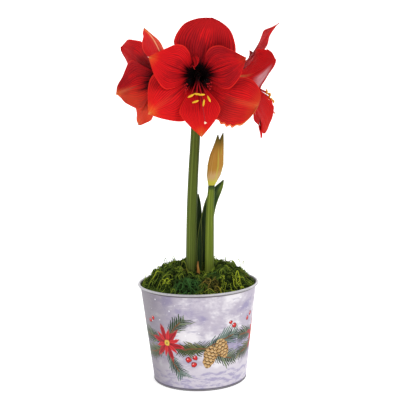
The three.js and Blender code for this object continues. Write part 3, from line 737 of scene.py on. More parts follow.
def build_moss():
    rng = np.random.default_rng(11)
    material = moss_look()
    build_moss_mat(material)
    fronds = Shape()
    lines, tones = grow(fronds, rng, FROND_COUNT, (12, 22), (2.5, 9), 3.2, (0.4, 0.6), 0.16)
    add_leaflets(fronds, rng, lines, 2.8, tones)
    fronds.piece("moss_fronds", material, "moss", "moss")
    curls = Shape()
    grow(curls, rng, CURL_COUNT, (12, 26), (2, 10), 7.5, (0.3, 0.7), 0.2)
    grow(curls, rng, STRAY_COUNT, (6, 11), (15, 22), 1.5, (0.4, 0.6))
    curls.piece("moss_curls", material, "moss", "moss")


# Stalks

UMBEL = np.array([3.6, 0, 386.0])
MAIN_ROUTE = [(-10.6, -11, 124), (-8.9, -10, 163), (-6.4, -8, 233), (-3.1, -5, 289), (0.2, -2.5, 331), UMBEL]
MAIN_RADII = [7.4, 7.3, 7, 6.8, 6.5, 6.3]
YOUNG_TOP = 269.7
YOUNG_ROUTE = [(14.6, -15.5, 122), (15.8, -15, 154), (17, -15, 200), (18.4, -15, 236), (20.9, -15, YOUNG_TOP)]
YOUNG_RADII = [6.4, 6.2, 6, 5.5, 4.4]
HEAD_BELOW = 9
HEAD_ABOVE = 3
HEAD_RADII = [6.4, 7.9, 8.4, 8.0, 6.2]
PEDICEL_RADIUS = 4.2
PEDICEL_RISE = 12
OVARY = 13
OVARY_OVERLAP = 5
TUBE_RADIUS = 5.5
OVARY_RADII = [PEDICEL_RADIUS, 5.1, 5.8, 5.6, TUBE_RADIUS - 2 * GAP]


def stalk_look(name, dark, base, pale, collar=None):
    look = Look(name, 0.45, shine=0.08)
    east, north, along = look.values("east north along")
    streak = look.noise(east * 5, north * 5, along * 1.2, detail=4, rough=0.6)
    fine = look.noise(east * 22, north * 22, along * 3)
    look.coat(base)
    look.coat(dark, streak.ease(0.5, 0.68) * 0.7)
    look.coat(pale, streak.ease(0.47, 0.35) * 0.75)
    look.coat(dark, fine.ease(0.55, 0.75) * 0.3)
    # a painted highlight as a paler stripe left of its front, and painted shade down its right side
    look.coat(pale, abs(east + 0.35).ease(0.22, 0.02) * north.ease(-0.2, -0.6) * 0.6)
    look.coat(dark, (east + (fine - 0.5) * 0.3).ease(0.35, 0.9) * 0.6)
    if collar:
        look.coat((0.022, 0.05, 0.012), (look.z + (fine - 0.5) * 14).ease(collar, collar + 4) * 0.85)
    look.coat((0.16, 0.13, 0.05), look.z.ease(172, 146) * fine.ease(0.4, 0.7) * 0.5)
    return look.done(fine + streak * 0.6, 0.25)


def ribbed(share, angle):
    return 1 + 0.012 * np.cos(11 * angle + 0.8 * np.sin(3 * share)) + 0.015 * np.cos(2 * angle + 0.7)


def bloom_place(spec):
    """Points x to the bloom's right, y up its face and z along its axis from its foot."""
    (turn_cos, turn_sin), (nod_cos, nod_sin) = cos_sin(spec["turn"]), cos_sin(spec["nod"])
    face = np.array([-turn_sin * nod_cos, -turn_cos * nod_cos, -nod_sin])
    right = np.cross([0, 0, 1.0], face)
    right = right / np.linalg.norm(right)
    up = np.cross(face, right)

    def place(x, y, z):
        x, y, z = (np.asarray(c, float)[..., None] for c in (x, y, z))
        return np.asarray(spec["foot"], float) + x * right + y * up + z * face

    return place


def add_flower_stem(shape, place):
    foot = place(0, 0, -GAP - OVARY)
    level = np.array([foot[0], foot[1], UMBEL[2]])
    bend = lerp(UMBEL, level, 0.35) + [0, 0, PEDICEL_RISE]
    route = [UMBEL - [0, 0, HEAD_BELOW / 2], bend, foot, place(0, 0, OVARY_OVERLAP - OVARY)]
    add_tube(shape, route, [PEDICEL_RADIUS] * 2, 24, 26, shaping=lambda s, a: 1 + 0.03 * np.cos(5 * a))
    route = [foot, place(0, 0, -GAP - OVARY / 2), place(0, 0, -GAP)]
    add_tube(shape, route, OVARY_RADII, 30, 14,
             shaping=lambda s, a: 1 + 0.07 * np.sin(math.pi * s) * np.cos(3 * a))


def build_stalks():
    main = Shape()
    add_tube(main, MAIN_ROUTE, MAIN_RADII, 44, 130, shaping=ribbed)
    add_tube(main, [UMBEL - [0, 0, HEAD_BELOW], UMBEL + [0, 0, HEAD_ABOVE]], HEAD_RADII, 44, 12)
    for spec in BLOOMS:
        add_flower_stem(main, bloom_place(spec))
    olive = stalk_look("stalk_skin", (0.035, 0.052, 0.008), (0.08, 0.11, 0.015), (0.15, 0.2, 0.035))
    main.piece("main_stalk", olive, "stalk_green", "scape_main")
    young = Shape()
    add_tube(young, YOUNG_ROUTE, YOUNG_RADII, 40, 80, flatness=0.95, level=True, shaping=ribbed)
    fresh = stalk_look("young_stalk_skin", (0.07, 0.1, 0.01), (0.12, 0.165, 0.018), (0.24, 0.3, 0.04),
                       collar=YOUNG_TOP - 7)
    young.piece("young_stalk", fresh, "young_green", "scape_young")


# Bud

BUD_FOOT = (20.9, -15, YOUNG_TOP + GAP)
BUD_VALVES = [
    ([BUD_FOOT, (25, -16, 292), (27.2, -16.5, 311), (29.6, -16.5, 325), (30.9, -16, 338)],
     [4.5, 8.6, 9.4, 7.6, 4.4, 0.7]),
    ([BUD_FOOT, (26.6, -14, 292), (30.4, -13.5, 311), (34.4, -13.5, 326), (37.9, -13, 340)],
     [4.5, 8.8, 9.6, 7.4, 4.2, 0.7]),
]


def bud_look():
    look = Look("bud_sheath", 0.55, shine=0.05)
    along, east, north = look.values("along east north")
    streak = look.noise(east * 9, north * 9, along * 1.4, detail=4, rough=0.65)
    shift = streak - 0.5
    look.coat((0.38, 0.185, 0.03))
    look.coat((0.48, 0.28, 0.08), streak.ease(0.48, 0.7) * 0.8)
    look.coat((0.22, 0.11, 0.02), streak.ease(0.46, 0.32) * 0.6)
    look.coat((0.12, 0.1, 0.018), (along + shift * 0.4).ease(0.62, 0.92) * 0.85)
    look.coat((0.05, 0.055, 0.012), (along + shift * 0.3).ease(0.82, 1) * 0.8)
    # a pale foot, a seam where the sheaths meet and green sides
    look.coat((0.52, 0.36, 0.17), (along - shift * 0.25).ease(0.34, 0.18) * 0.7)
    look.coat((0.46, 0.42, 0.05), (along - shift * 0.12).ease(0.17, 0.05))
    seam = (abs(east - 0.5) - shift * 0.2).ease(0.16, 0.02) * north.ease(0, -0.3)
    look.coat((0.44, 0.4, 0.06), seam * along.ease(0.05, 0.2) * along.ease(0.8, 0.6) * 0.8)
    look.coat((0.3, 0.3, 0.03), (abs(east) + shift * 0.2).ease(0.86, 1) * 0.6)
    return look.done(streak, 0.5)


def veined(share, angle):
    return 1 + 0.014 * np.cos(15 * angle) + 0.03 * np.sin(math.pi * share) * np.cos(2 * angle)


def build_bud():
    shape = Shape()
    for spine, radii in BUD_VALVES:
        add_tube(shape, spine, radii, 48, 70, flatness=0.78, level=True, shaping=veined)
    shape.piece("bud_sheaths", bud_look(), "bud_sheath", "bud_spathe")


# Leaves

LEAF_THICKNESS = 1.6
LEAF_TURN = 0.12
# Each leaf's route, half width, where its tip begins, how deep its channel is and how sunlit its tip
LEAVES = {
    "leaf_right": ([(8.5, 4, 126), (11.4, 5, 180), (15.6, 5, 228), (23.8, 4, 254), (37.5, 3, 275.5)],
                   8.8, 0.74, 1.6, 1),
    "leaf_left": ([(-4, 9.5, 126), (-3.5, 11, 165), (-2.2, 11, 215), (2.7, 10, 256)], 8.5, 0.7, 1.4, 0),
    "leaf_middle": ([(4.6, 0, 126), (6, 0.6, 160), (9, 0.4, 205), (13.2, -1, 248)], 6.2, 0.62, 1.2, 0),
    "leaf_short": ([(1.8, -7, 128), (2.6, -7, 160), (3.5, -5.5, 195), (6, -4.5, 224)], 3.6, 0.5, 0.9, 0),
}


def leaf_look():
    look = Look("strap_leaf", 0.45, shine=0.1)
    along, across, sunny = look.values("along across sunny")
    veins = abs((across * 11 + (look.noise(along * 3, across * 2) - 0.5)).fract() - 0.5)
    # a very dark green, in part painted shade where the leaves stand between the stalks
    look.coat((0.016, 0.036, 0.01))
    look.coat((0.03, 0.065, 0.014), look.grain(0.12, 3, squash=0.3).ease(0.45, 0.65) * 0.7)
    look.coat((0.035, 0.07, 0.018), veins.ease(0.12, 0.02) * 0.5)
    look.coat((0.06, 0.1, 0.025), abs(across).ease(0.1, 0.01) * 0.6)
    look.coat((0.15, 0.21, 0.03), sunny * across.ease(0, 0.5) * along.ease(0.7, 0.9) * 0.9)
    # a painted highlight along both edges
    look.coat((0.24, 0.28, 0.06), abs(across).ease(0.86, 0.97) * 0.8)
    look.coat((0.09, 0.12, 0.04), along.ease(0.93, 1) * 0.6)
    return look.done(veins, 0.3)


def build_leaf(node, material, route, half, taper, channel, sunny):
    def surface(t, v):
        end = np.clip((t - taper) / (1 - taper), 0, 1) ** 1.8
        width = half * (1 - 0.95 * end)
        wave = 0.35 * v**2 * np.sin(9 * t + 2 * v)
        crease = 0.5 * np.exp(-((v * half / 1.2) ** 2))
        return spline(route, t) + xyz(v * width, LEAF_TURN * v * width - channel * v**2 - crease + wave, 0)

    def thickness(t, v):
        return LEAF_THICKNESS * (1 - 0.55 * v**4) * (1 - 0.4 * t)

    shape = Shape()
    add_sheet(shape, surface, 70, 18, thickness, sunny=sunny)
    shape.piece(node + "_blade", material, "leaf_green", node)


# Papery pieces

BRACTS = {"bract_left": (-1, 34), "bract_right": (1, 30)}
BRACT_SEAT = 8.4 - GAP
BRACT_BULGE = 5.5
BRACT_CURL = 1.5
BRACT_HALF = 5.5
SCALE_ROUTE = [(0.2, -18.5, 136), (0.4, -19.5, 150), (0.8, -20, 167)]
SCALE_HALF = (3.1, 0.4)  # at its foot and tip


def papery_look(name, base, pale, dark):
    look = Look(name, 0.7, shine=0.2)
    along, across = look.values("along across")
    veins = look.noise(across * 7, along * 1.5, 4, detail=4, rough=0.7)
    look.coat(base)
    look.coat(pale, veins.ease(0.48, 0.7))
    look.coat(dark, veins.ease(0.44, 0.3) * 0.8)
    look.coat(dark, along.ease(0.8, 1) * 0.5)
    return look.done(veins, 0.4)


def build_bract(node, material, side, drop):
    steps = [(0.4, 1), (BRACT_BULGE, drop * 0.3), (BRACT_BULGE, drop * 0.7), (BRACT_BULGE / 2, drop)]
    route = [(UMBEL[0] + side * (BRACT_SEAT + out), 0, UMBEL[2] - below) for out, below in steps]

    def surface(t, v):
        width = BRACT_HALF * np.sin(math.pi * lerp(0.25, 0.97, t)) ** 0.8
        crumple = 0.35 * t * np.sin(8 * v + 5 * t) + 0.25 * np.sin(14 * t + 3 * v) * t
        return spline(route, t) + xyz(side * (BRACT_CURL * v**2 * t + crumple), -side * v * width, 0)

    shape = Shape()
    add_sheet(shape, surface, 40, 18, lambda t, v: 0.75 - 0.4 * abs(v) ** 3)
    shape.piece(node + "_sheath", material, "papery_brown", node)


def build_scale_tip():
    def surface(t, v):
        width = lerp(*SCALE_HALF, t**1.4) + 0.4 * np.sin(11 * t + 2 * v)
        return spline(SCALE_ROUTE, t) + xyz(v * width, 1.4 * v**2 + 0.2 * np.sin(9 * v), 0)

    shape = Shape()
    add_sheet(shape, surface, 24, 14, lambda t, v: 0.9 - 0.4 * v**2)
    rust = papery_look("bulb_scale_skin", (0.5, 0.2, 0.04), (0.72, 0.42, 0.14), (0.06, 0.03, 0.012))
    shape.piece("bulb_scale_tip", rust, "papery_brown", "bulb_scale")


# Blooms

# A petal leaves the throat at clock degrees, and reaches out and forward. half is its half width, peak where
# it is widest, taper and point the form of its tip, flare its last heading and edge the curve across it.
# Its colours from 0 to 1 are shade, which is painted shade, tip, rib, salmon and a painted sheen highlight,
# and throat is how far out it is dark.
PETAL = {
    "taper": 1.7, "point": 1, "peak": 0.62, "ruffle": 2, "twist": 0, "bow": 0, "skirt": 0, "ragged": 0,
    "shade": 0.3, "tip": 0.2, "rib": 0, "salmon": 0, "salmon_side": 0, "silver": 0, "throat": 24,
}
OUTER = {**PETAL, "lift": -1, "edge": -0.013, "flare": 84}
INNER = {**PETAL, "lift": 1, "edge": 0.006, "flare": 76}
ROOT_DEPTH = 1.2
ROOT_LEAN = 11
ROOT_PULL = 0.42
ROOT_HALF = 5.6
TIP_PULL = 0.36
TIP_HALF = 0.7
WIDENING = 3.3
RIB = {"depth": 1.1, "width": 4, "fade": 0.6}
PETAL_THICKNESS = 0.95
RUFFLE_WAVES = 2.6
RUFFLE_OFFSET = 2
FLAP_HALF = 4.2
FLAP_FOLD = 2.6
FRINGE_COUNT = 9  # scales on each side
STAMEN_RING = 3.6
STAMEN_ROOT_DEPTH = 4
FILAMENT_BEND = (0.3, 0.33, 0.6)
STYLE_BEND = (0.3, 0.25, 0.6)
ANTHER_REACH = 4.25
ANTHER_DROOP = 0.7  # its ends curl back a little


def outer(clock, reach, depth, half, phase, layer=OUTER, **more):
    return SimpleNamespace(clock=clock, reach=reach, depth=depth, half=half, phase=phase, **{**layer, **more})


def inner(*form, **more):
    return outer(*form, layer=INNER, **more)


# Each anther has its place and its slant in degrees
BLOOMS = [
    {
        "name": "front", "foot": (6, -42, 416), "turn": 0, "nod": 4, "stigma": (8.5, -53, 82),
        "anthers": [(-8.5, -21.5, 67, 25), (4.5, -20, 70, 0), (-3, -28.5, 68, 18), (7, -30, 70, 80),
                    (13.5, -25.5, 67, -65), (-1, -19.5, 65, -5)],
        "flap": [(-3.5, 25, 40), (-1, 19, 44), (-1.5, 14, 48), (-4.5, 11, 49)],
        "petals": [
            outer(15, 73, 56, 39, 0.4, peak=0.57, taper=2, point=0.58, flare=68, shade=0.75, tip=0,
                  throat=20),
            inner(69, 64, 64, 28, 1.3, shade=0.65, tip=0.15, throat=22),
            outer(116, 82, 61, 32, 2.1, peak=0.72, taper=2, point=0.5, bow=8, ruffle=3, skirt=0.3,
                  ragged=0.05, shade=0.6, tip=0.25, rib=0.3, salmon=0.06, salmon_side=1, throat=20),
            inner(177, 72, 69, 25.5, 0, taper=1.35, peak=0.68, ruffle=0.8, shade=0, tip=0.9, throat=21),
            outer(-125, 75, 62, 35, 3, shade=0.25, tip=1, rib=0.2, throat=21),
            inner(-66, 64, 64, 29, 4.2, shade=0.2, tip=0.6, throat=21),
        ],
    },
    {
        "name": "left", "foot": (-22, -14, 415), "turn": 60, "nod": 5, "stigma": (15, -27, 48),
        "anthers": [(11, -18, 42, 20), (14, -15, 43, -15), (9, -21, 41, 35), (13, -21, 44, 5),
                    (8, -13, 39, -30), (12, -9, 41, 60)],
        "petals": [
            inner(17, 69, 50, 40, 0.7, flare=46, peak=0.6, ruffle=1, bow=17, shade=0.1, tip=1, rib=1,
                  salmon=0.8, salmon_side=1),
            outer(64, 52, 46, 24, 1.9),
            inner(124, 46, 58, 23, 2.6, flare=60),
            outer(-156, 62, 53, 24, 0.2, point=0.5, shade=0, tip=0.6, salmon=0.75),
            inner(-106, 57, 65, 36, 3.3, peak=0.5, taper=1.35, shade=0.45, tip=1, rib=0.5, salmon=0.7,
                  salmon_side=-1, throat=21),
            outer(-52, 77, 48, 27, 5.1, taper=2, point=0.6, ruffle=3, shade=0.65, tip=0, throat=20),
        ],
    },
    {
        "name": "right", "foot": (32, -6, 415), "turn": -97, "nod": 6, "stigma": (-13, -42, 79),
        "anthers": [(-24, -15, 63, 60), (-27, -19, 67, -40), (-25, -24, 70, 15), (-19, -21, 68, -70),
                    (-29, -27, 72, 35), (-21, -17, 66, 0)],
        "petals": [
            inner(19, 86, 82, 29, 0.9, taper=1.2, point=1.15, peak=0.46, flare=42, twist=38, shade=0.8,
                  tip=0.3),
            outer(60, 60, 56, 25, 2.2),
            inner(121, 64, 60, 25, 3.1),
            outer(-174, 77, 66, 12, 1.1, point=1.3, ruffle=3, ragged=0.1, shade=0, tip=0),
            inner(-150, 74, 66, 32, 4.4, peak=0.74, point=0.35, skirt=0.3, ragged=0.04, shade=0, tip=0.1),
            outer(-64, 60, 66, 31, 5.2, flare=62, point=0.6, bow=-7, ragged=0.03, shade=0, tip=0, silver=1),
        ],
    },
    {
        "name": "back", "foot": (5, 27, 415), "turn": 176, "nod": 5, "stigma": (4, -42, 84),
        "anthers": [(-8, -20, 64, 30), (5, -19, 67, -20), (-4, -27, 66, 10), (8, -27, 68, 70),
                    (14, -23, 65, -55), (-1, -13, 63, 0)],
        "petals": [
            outer(-4, 66, 58, 30, 1.2, taper=2, point=0.6),
            inner(56, 62, 60, 28, 2.2, tip=0.6),
            outer(116, 62, 58, 30, 3.4),
            inner(178, 62, 62, 25, 0.2, tip=0.8),
            outer(-126, 76, 56, 30, 4.1),
            inner(-69, 80, 56, 26, 5.5, shade=0, tip=1, salmon=1),
        ],
    },
]


def half_width(petal, t):
    rise = np.clip(t / petal.peak, 0, 1)
    widening = lerp(ROOT_HALF, petal.half, rise**WIDENING * (1 + WIDENING - WIDENING * rise))
    fall = np.clip((t - petal.peak) / (1 - petal.peak), 0, 1)
    narrowing = np.maximum(TIP_HALF, petal.half * (1 - fall**petal.taper) ** petal.point)
    return np.where(t < petal.peak, widening, narrowing)


def mid_line(petal, t):
    """The mid-line as distance from the bloom's axis and depth along it: its points and headings."""
    chord = math.hypot(petal.reach - TUBE_RADIUS, petal.depth)
    p0 = np.array([TUBE_RADIUS, ROOT_DEPTH])
    p3 = np.array([petal.reach, petal.depth])
    p1 = p0 + ROOT_PULL * chord * np.array(cos_sin(ROOT_LEAN))[::-1]
    p2 = p3 - TIP_PULL * chord * np.array(cos_sin(petal.flare))[::-1]
    t = t[..., None]
    place = (1 - t) ** 3 * p0 + 3 * (1 - t) ** 2 * t * p1 + 3 * (1 - t) * t**2 * p2 + t**3 * p3
    speed = 3 * (1 - t) ** 2 * (p1 - p0) + 6 * (1 - t) * t * (p2 - p1) + 3 * t**2 * (p3 - p2)
    return place, unit(speed)


def petal_point(petal, place, t, v):
    """The petal's middle surface at t along it and v across it."""
    clock_cos, clock_sin = cos_sin(petal.clock)
    phase = petal.phase
    mid, along = mid_line(petal, t)
    free = ease(t, 0.3, 0.8)
    right = np.maximum(0, v)
    s = v * half_width(petal, t) * (1 + petal.skirt * right * t**4)
    s = s * (1 + petal.ragged * free * right**4 * np.sin(57 * t + 4 * np.sin(9 * t) + phase))
    bend = lerp(np.maximum(along[..., 1], 0) / mid[..., 0], petal.edge, free)
    bend = np.where(abs(bend) < 1e-6, 1e-6, bend)
    sideways = np.sin(s * bend) / bend + petal.bow * np.sin(math.pi * t)
    cup = (1 - np.cos(s * bend)) / bend
    rib = -RIB["depth"] * free * np.exp(-((s / RIB["width"]) ** 2)) * (1 - RIB["fade"] * t**2)
    side_of = np.tanh(v * 6)
    wave = np.sin(RUFFLE_WAVES * FULL_TURN * t + phase + RUFFLE_OFFSET * side_of)
    rise = cup + rib + petal.ruffle * free * v**2 * wave
    # finer than the solid: a crimped edge and soft puckers between the veins
    rise = rise + 0.45 * free * v**6 * np.sin(38 * t + 3 * phase + 2 * side_of)
    rise = rise + 0.3 * free * (1 - v**2) * np.sin(11 * t + 5 * v + phase) * np.sin(6 * v + 2 * phase)
    twist = math.radians(petal.twist) * t**2
    side = sideways * np.cos(twist) - rise * np.sin(twist)
    lift = petal.lift + sideways * np.sin(twist) + rise * np.cos(twist)
    r = mid[..., 0] - along[..., 1] * lift
    x, y = r * clock_sin + side * clock_cos, r * clock_cos - side * clock_sin
    return place(x, y, mid[..., 1] + along[..., 0] * lift)


def add_petal(shape, petal, place, number):
    side = petal.salmon_side

    def spread(t, v):
        return v * half_width(petal, t)

    values = {
        "number": number,
        "spread": spread,
        "radius": lambda t, v: np.hypot(mid_line(petal, t)[0][..., 0], spread(t, v)) - petal.throat,
        "salmon": lambda t, v: petal.salmon * (ease(v * side, -0.1, 0.5) if side else np.ones_like(t)),
        **{mark: getattr(petal, mark) for mark in ("shade", "tip", "rib", "silver")},
    }
    add_sheet(shape, lambda t, v: petal_point(petal, place, t, v), 60, 44,
              lambda t, v: (PETAL_THICKNESS - 0.25 * t) * (1 - 0.6 * abs(v) ** 3), **values)


def add_flap(shape, route, place):
    """A small curled lobe that folds down over the throat."""
    def surface(t, v):
        x, y, z = np.moveaxis(spline(route, t), -1, 0)
        width = FLAP_HALF * (1 - t**2.5) * ease(t, -0.4, 0.4)
        return place(x - v * width * 0.85, y - v * width * 0.5 + 1.2 * v**2, z - FLAP_FOLD * v**2)

    add_sheet(shape, surface, 18, 14, lambda t, v: 0.7 + 0 * t, number=40, shade=0.5,
              spread=lambda t, v: 4 * v, radius=lambda t, v: 8 + 12 * t)


def add_throat_fringe(shape, place):
    """The short curled scales where neighbouring petals meet around the stamens."""
    rng = np.random.default_rng(5)
    for side in [-1] * FRINGE_COUNT + [1] * FRINGE_COUNT:
        x, y = side * rng.uniform(10.5, 16.5), rng.uniform(-19, -6)
        z = 46 + 0.6 * (abs(x) - 10) + rng.uniform(0, 2.5)
        lean = rng.uniform(-2.2, 2.2, 2)
        route = [place(x - 0.3 * side, y - 0.5, z - 4), place(x + lean[0] * 0.3, y + lean[1] * 0.3, z),
                 place(x + lean[0], y + lean[1], z + 1.6)]
        add_tube(shape, route, [0.5, 0.75, 0.6, 0.25], 8, 8)


def petal_look():
    look = Look("petal_velvet", 0.6, shine=0.06)
    along, across, spread, radius, front, number = look.values("along across spread radius front number")
    shade, silver, salmon, rib, tip = look.values("shade silver salmon rib tip")
    back = 1 - front
    wander = look.noise(across * 3, along * 2.5, number)
    fine = look.noise(across * 26, along * 1.6, number, detail=3, rough=0.6)
    lines = abs((across * 13 + (wander - 0.5) * 2.6).fract() - 0.5)
    vein = (lines - (fine - 0.5) * 0.35).ease(0.22, 0.04)
    streak = look.noise(across * 11, along * 1.1, number, detail=4, rough=0.65)
    shift = streak - 0.5
    cloud = look.grain(0.035, 3)

    look.coat((0.66, 0.007, 0.01))
    # painted shade: petals with more shade get darker clouds and streaks, and only the unshaded ones the
    # brighter outer part
    look.coat((0.38, 0.006, 0.01), (cloud + (shade - 0.5) * 0.4 + shift * 0.5).ease(0.38, 0.6) * 0.85)
    look.coat((0.25, 0.005, 0.009), shade * (streak + cloud * 0.3).ease(0.5, 0.8) * 0.9)
    look.coat((0.8, 0.013, 0.01), (radius + shift * 30).ease(22, 48) * (1 - shade) * 0.95)
    middle = along.ease(0.1, 0.45) * along.ease(1.15, 0.65)
    look.coat((0.14, 0.003, 0.006), vein * middle * (shade * 0.3 + 0.55))
    # painted shade in the crease along the mid-line near the throat
    crease = abs(spread).ease(1.3, 0.3) * radius.ease(26, 12)
    look.coat((0.1, 0.002, 0.005), crease * front * (1 - rib) * 0.7)
    # a salmon wash of the petals' own colour, on some petals kept to one half as painted light, a pale
    # mid-rib and a lit tip
    look.coat((0.78, 0.085, 0.03), salmon * along.ease(0.25, 0.75) * (streak * 0.9 + 0.3))
    look.coat((0.86, 0.16, 0.05), (abs(spread) - shift * 6).ease(6, 1) * along.ease(0.5, 0.95) * rib * 0.7)
    thin_rib = (abs(spread) - shift * 3).ease(2.6, 0.4) * rib.ease(0.4, 1)
    look.coat((0.9, 0.6, 0.32), thin_rib * along.ease(0.45, 0.75) * 0.75)
    lit = along + shift * 0.16 - abs(across) * 0.05
    look.coat((0.85, 0.13, 0.02), lit.ease(0.84, 0.97) * tip * 0.8)
    look.coat((0.9, 0.5, 0.16), lit.ease(0.94, 1.01) * tip * 0.75)
    # outside, a greenish rib near the tube and a painted sheen highlight
    look.coat((0.45, 0.22, 0.07), back * abs(spread).ease(3, 0.5) * along.ease(0.6, 0.2) * 0.7)
    # a painted highlight: pale pink sheen on the outside of chosen petals
    sheen = silver * back * (streak + 0.1).ease(0.38, 0.7) * along.ease(0.5, 0.7) * along.ease(0.97, 0.8)
    look.coat((0.86, 0.45, 0.5), sheen * across.ease(-0.05, -0.35) * across.ease(-0.85, -0.65))
    # a painted highlight along the thin edge, and an orange frill in places
    look.coat((0.88, 0.03, 0.016), abs(across).ease(0.93, 1) * along.ease(0.4, 0.6) * 0.7)
    frill = across.ease(0.86, 0.98) * along.ease(0.55, 0.75) * streak.ease(0.44, 0.58)
    look.coat((0.92, 0.3, 0.07), frill * salmon.ease(0, 0.05) * 0.8)
    # the dark throat running out along the veins, partly the petals' own dark base and partly painted shade
    # deep in the throat
    reach = radius - shift * 26 + (fine - 0.5) * 10
    look.coat((0.15, 0.003, 0.007), reach.ease(7, -5) * front * 0.85)
    look.coat((0.006, 0.001, 0.002), reach.ease(1, -5) * front)
    return look.done(vein * -0.6 + streak * 0.5, 0.35)


def plain_look(name, low, high, roughness, scale, depth):
    """A colour that changes along a piece, with a fine grain."""
    look = Look(name, roughness, shine=0.2)
    grain = look.grain(scale, 3)
    (along,) = look.values("along")
    look.coat(low)
    look.coat(high, (along + (grain - 0.5) * 0.3).ease(0.45, 0.85))
    return look.done(grain, depth)


def add_thread(shape, place, root, bend, end, radii, sides, steps):
    """A filament or style that bends from its root to its end."""
    x, y, z = end
    route = [root, place(x * bend[0], y * bend[1], z * bend[2]), place(x, y, z)]
    add_tube(shape, route, radii, sides, steps)


def add_anther(shape, place, end, slant):
    x, y, z = end
    c, s = cos_sin(slant)
    dx, dy, low = ANTHER_REACH * c, ANTHER_REACH * s, z + 0.6 - ANTHER_DROOP
    route = [place(x - dx, y - dy, low), place(x, y, z + 1), place(x + dx, y + dy, low)]
    add_tube(shape, route, [0.35, 1.0, 1.3, 1.35, 1.3, 1.0, 0.35], 12, 14,
             shaping=lambda s, a: 1 - 0.16 * np.cos(a * 2) ** 8)


def build_bloom(spec, number, looks):
    place = bloom_place(spec)
    anthers, stigma = spec["anthers"], spec["stigma"]
    shapes = {name: Shape() for name in ("petals", "cup", "throat_fringe", "filaments", "anthers", "stigma")}
    for index, petal in enumerate(spec["petals"]):
        add_petal(shapes["petals"], petal, place, number * 6 + index)
    add_tube(shapes["cup"], [place(0, 0, z) for z in (0, 3.5, 7)], [5.9, 7.6, 8.1], 32, 8,
             shaping=lambda s, a: 1 + 0.05 * np.cos(6 * a) * s)
    if "flap" in spec:
        add_flap(shapes["petals"], spec["flap"], place)
        add_throat_fringe(shapes["throat_fringe"], place)
    for angle, (*end, slant) in zip(around(len(anthers)), anthers):
        root = place(STAMEN_RING * math.sin(angle), STAMEN_RING * math.cos(angle), STAMEN_ROOT_DEPTH)
        add_thread(shapes["filaments"], place, root, FILAMENT_BEND, end, [1.05, 0.85, 0.8, 0.55], 8, 22)
        add_anther(shapes["anthers"], place, end, slant)
    add_thread(shapes["filaments"], place, place(0, 0, 3), STYLE_BEND, stigma, [1.1, 0.95, 0.8], 10, 26)
    x, y, z = stigma
    for angle in around(3):
        c, s = math.cos(angle), math.sin(angle)
        steps = [(0, -0.7), (0.6, 0.5), (1.3, 1.2)]
        route = [place(x + out * c, y + out * s, z + rise) for out, rise in steps]
        add_tube(shapes["stigma"], route, [0.7, 0.8, 0.8, 0.6], 10, 8)
    node = "bloom_" + spec["name"]
    for name, shape in shapes.items():
        if shape.count:
            shape.piece(f"{node}_{name}", looks[name], "petal_red", node)


# Stage

def build_stage():
    """A pale floor that curves up behind into a plain wall."""
    wide, near, bend_at, bend, high = 3000, -1500, 900, 500, 2200
    angle = np.linspace(0, math.pi / 2, 16)
    y = np.concatenate([[near], bend_at + bend * np.sin(angle), [bend_at + bend]])
    z = np.concatenate([[0], bend * (1 - np.cos(angle)), [high]]) - 0.2
    points = np.stack([xyz(side, y, z) for side in (-wide, wide)], axis=1)
    mesh = bpy.data.meshes.new("floor")
    mesh.from_pydata((points.reshape(-1, 3) * MM).tolist(), [], grid_faces(len(y), 2).tolist())
    mesh.shade_smooth()
    floor = add_object("floor", mesh)
    look = Look("floor_paper", 0.9, Emission_Color=(1, 1, 1, 1), Emission_Strength=0.5)
    look.coat((0.86, 0.86, 0.86))
    look.coat((0.88, 0.88, 0.88), look.grain(0.01))
    mesh.materials.append(look.done())


def add_light(name, place, size, watts, target=(5, 0, 300)):
    light = bpy.data.lights.new(name, "AREA")
    light.shape = "DISK"
    light.size = size * MM
    light.energy = watts
    lamp = add_object(name, light)
    lamp.location = Vector(place) * MM
    lamp.rotation_euler = (Vector(target) - Vector(place)).to_track_quat("-Z", "Y").to_euler()


def build_world():
    world = bpy.data.worlds.new("studio")
    world.use_nodes = True
    background = world.node_tree.nodes["Background"].inputs
    background["Color"].default_value = (1, 1, 1, 1)
    background["Strength"].default_value = 0.7
    bpy.context.scene.world = world
    bpy.context.scene.view_settings.view_transform = "Standard"


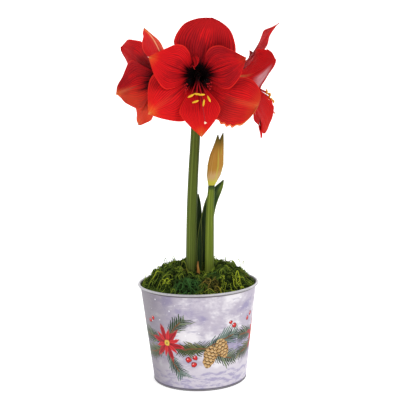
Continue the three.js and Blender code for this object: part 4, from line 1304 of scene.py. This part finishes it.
def build_camera():
    camera = bpy.data.cameras.new("camera")
    camera.lens = CAMERA_LENS
    camera.sensor_width = 36
    camera.clip_end = 20
    holder = add_object("camera", camera)
    down = Matrix.Rotation(math.radians(90 - CAMERA_TILT), 4, "X")
    roll = Matrix.Rotation(math.radians(-CAMERA_ROLL), 4, "Z")
    holder.matrix_world = Matrix.Translation(Vector(CAMERA_PLACE) * MM) @ down @ roll
    bpy.context.scene.camera = holder


build_camera()
build_stage()
add_light("key", (900, -1200, 1250), 800, 9)
add_light("fill", (-1300, -900, 600), 1100, 2.5)
add_light("back", (500, 900, 1300), 900, 5)
build_world()
dress(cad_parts["potting_soil"],
      grainy_look("potting_mix", 0.95, (0.03, 0.02, 0.013), (0.09, 0.06, 0.035),
                  {"scale": 0.6, "detail": 5, "rough": 0.7}, (0.5, 0.7), 1.2))
dress(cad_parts["bulb"],
      grainy_look("bulb_skin", 0.6, (0.2, 0.1, 0.04), (0.36, 0.23, 0.1),
                  {"scale": 0.5, "detail": 4, "squash": 0.12}, (0.42, 0.66), 0.5))
build_pot()
build_moss()
build_stalks()
build_bud()
leaf_material = leaf_look()
for node, leaf in LEAVES.items():
    build_leaf(node, leaf_material, *leaf)
withered = papery_look("withered_sheath", (0.3, 0.19, 0.08), (0.5, 0.36, 0.18), (0.13, 0.07, 0.03))
for node, (side, drop) in BRACTS.items():
    build_bract(node, withered, side, drop)
build_scale_tip()
bloom_looks = {
    "petals": petal_look(),
    # the cup's upper end near black, painted shade deep in the throat
    "cup": plain_look("bloom_cup", (0.3, 0.3, 0.06), (0.02, 0.003, 0.004), 0.45, 0.8, 0.1),
    "throat_fringe": plain_look("throat_fringe", (0.25, 0.004, 0.008), (0.62, 0.012, 0.016), 0.6, 1.5, 0.05),
    # the filaments' feet near black, painted shade in the throat
    "filaments": plain_look("filament", (0.02, 0.002, 0.004), (0.46, 0.008, 0.012), 0.5, 1.5, 0.05),
    "anthers": plain_look("pollen", (0.75, 0.42, 0.02), (0.85, 0.55, 0.03), 0.8, 4, 0.15),
    "stigma": plain_look("stigma", (0.85, 0.6, 0.35), (0.9, 0.8, 0.6), 0.5, 2, 0.05),
}
for number, spec in enumerate(BLOOMS):
    build_bloom(spec, number, bloom_looks)
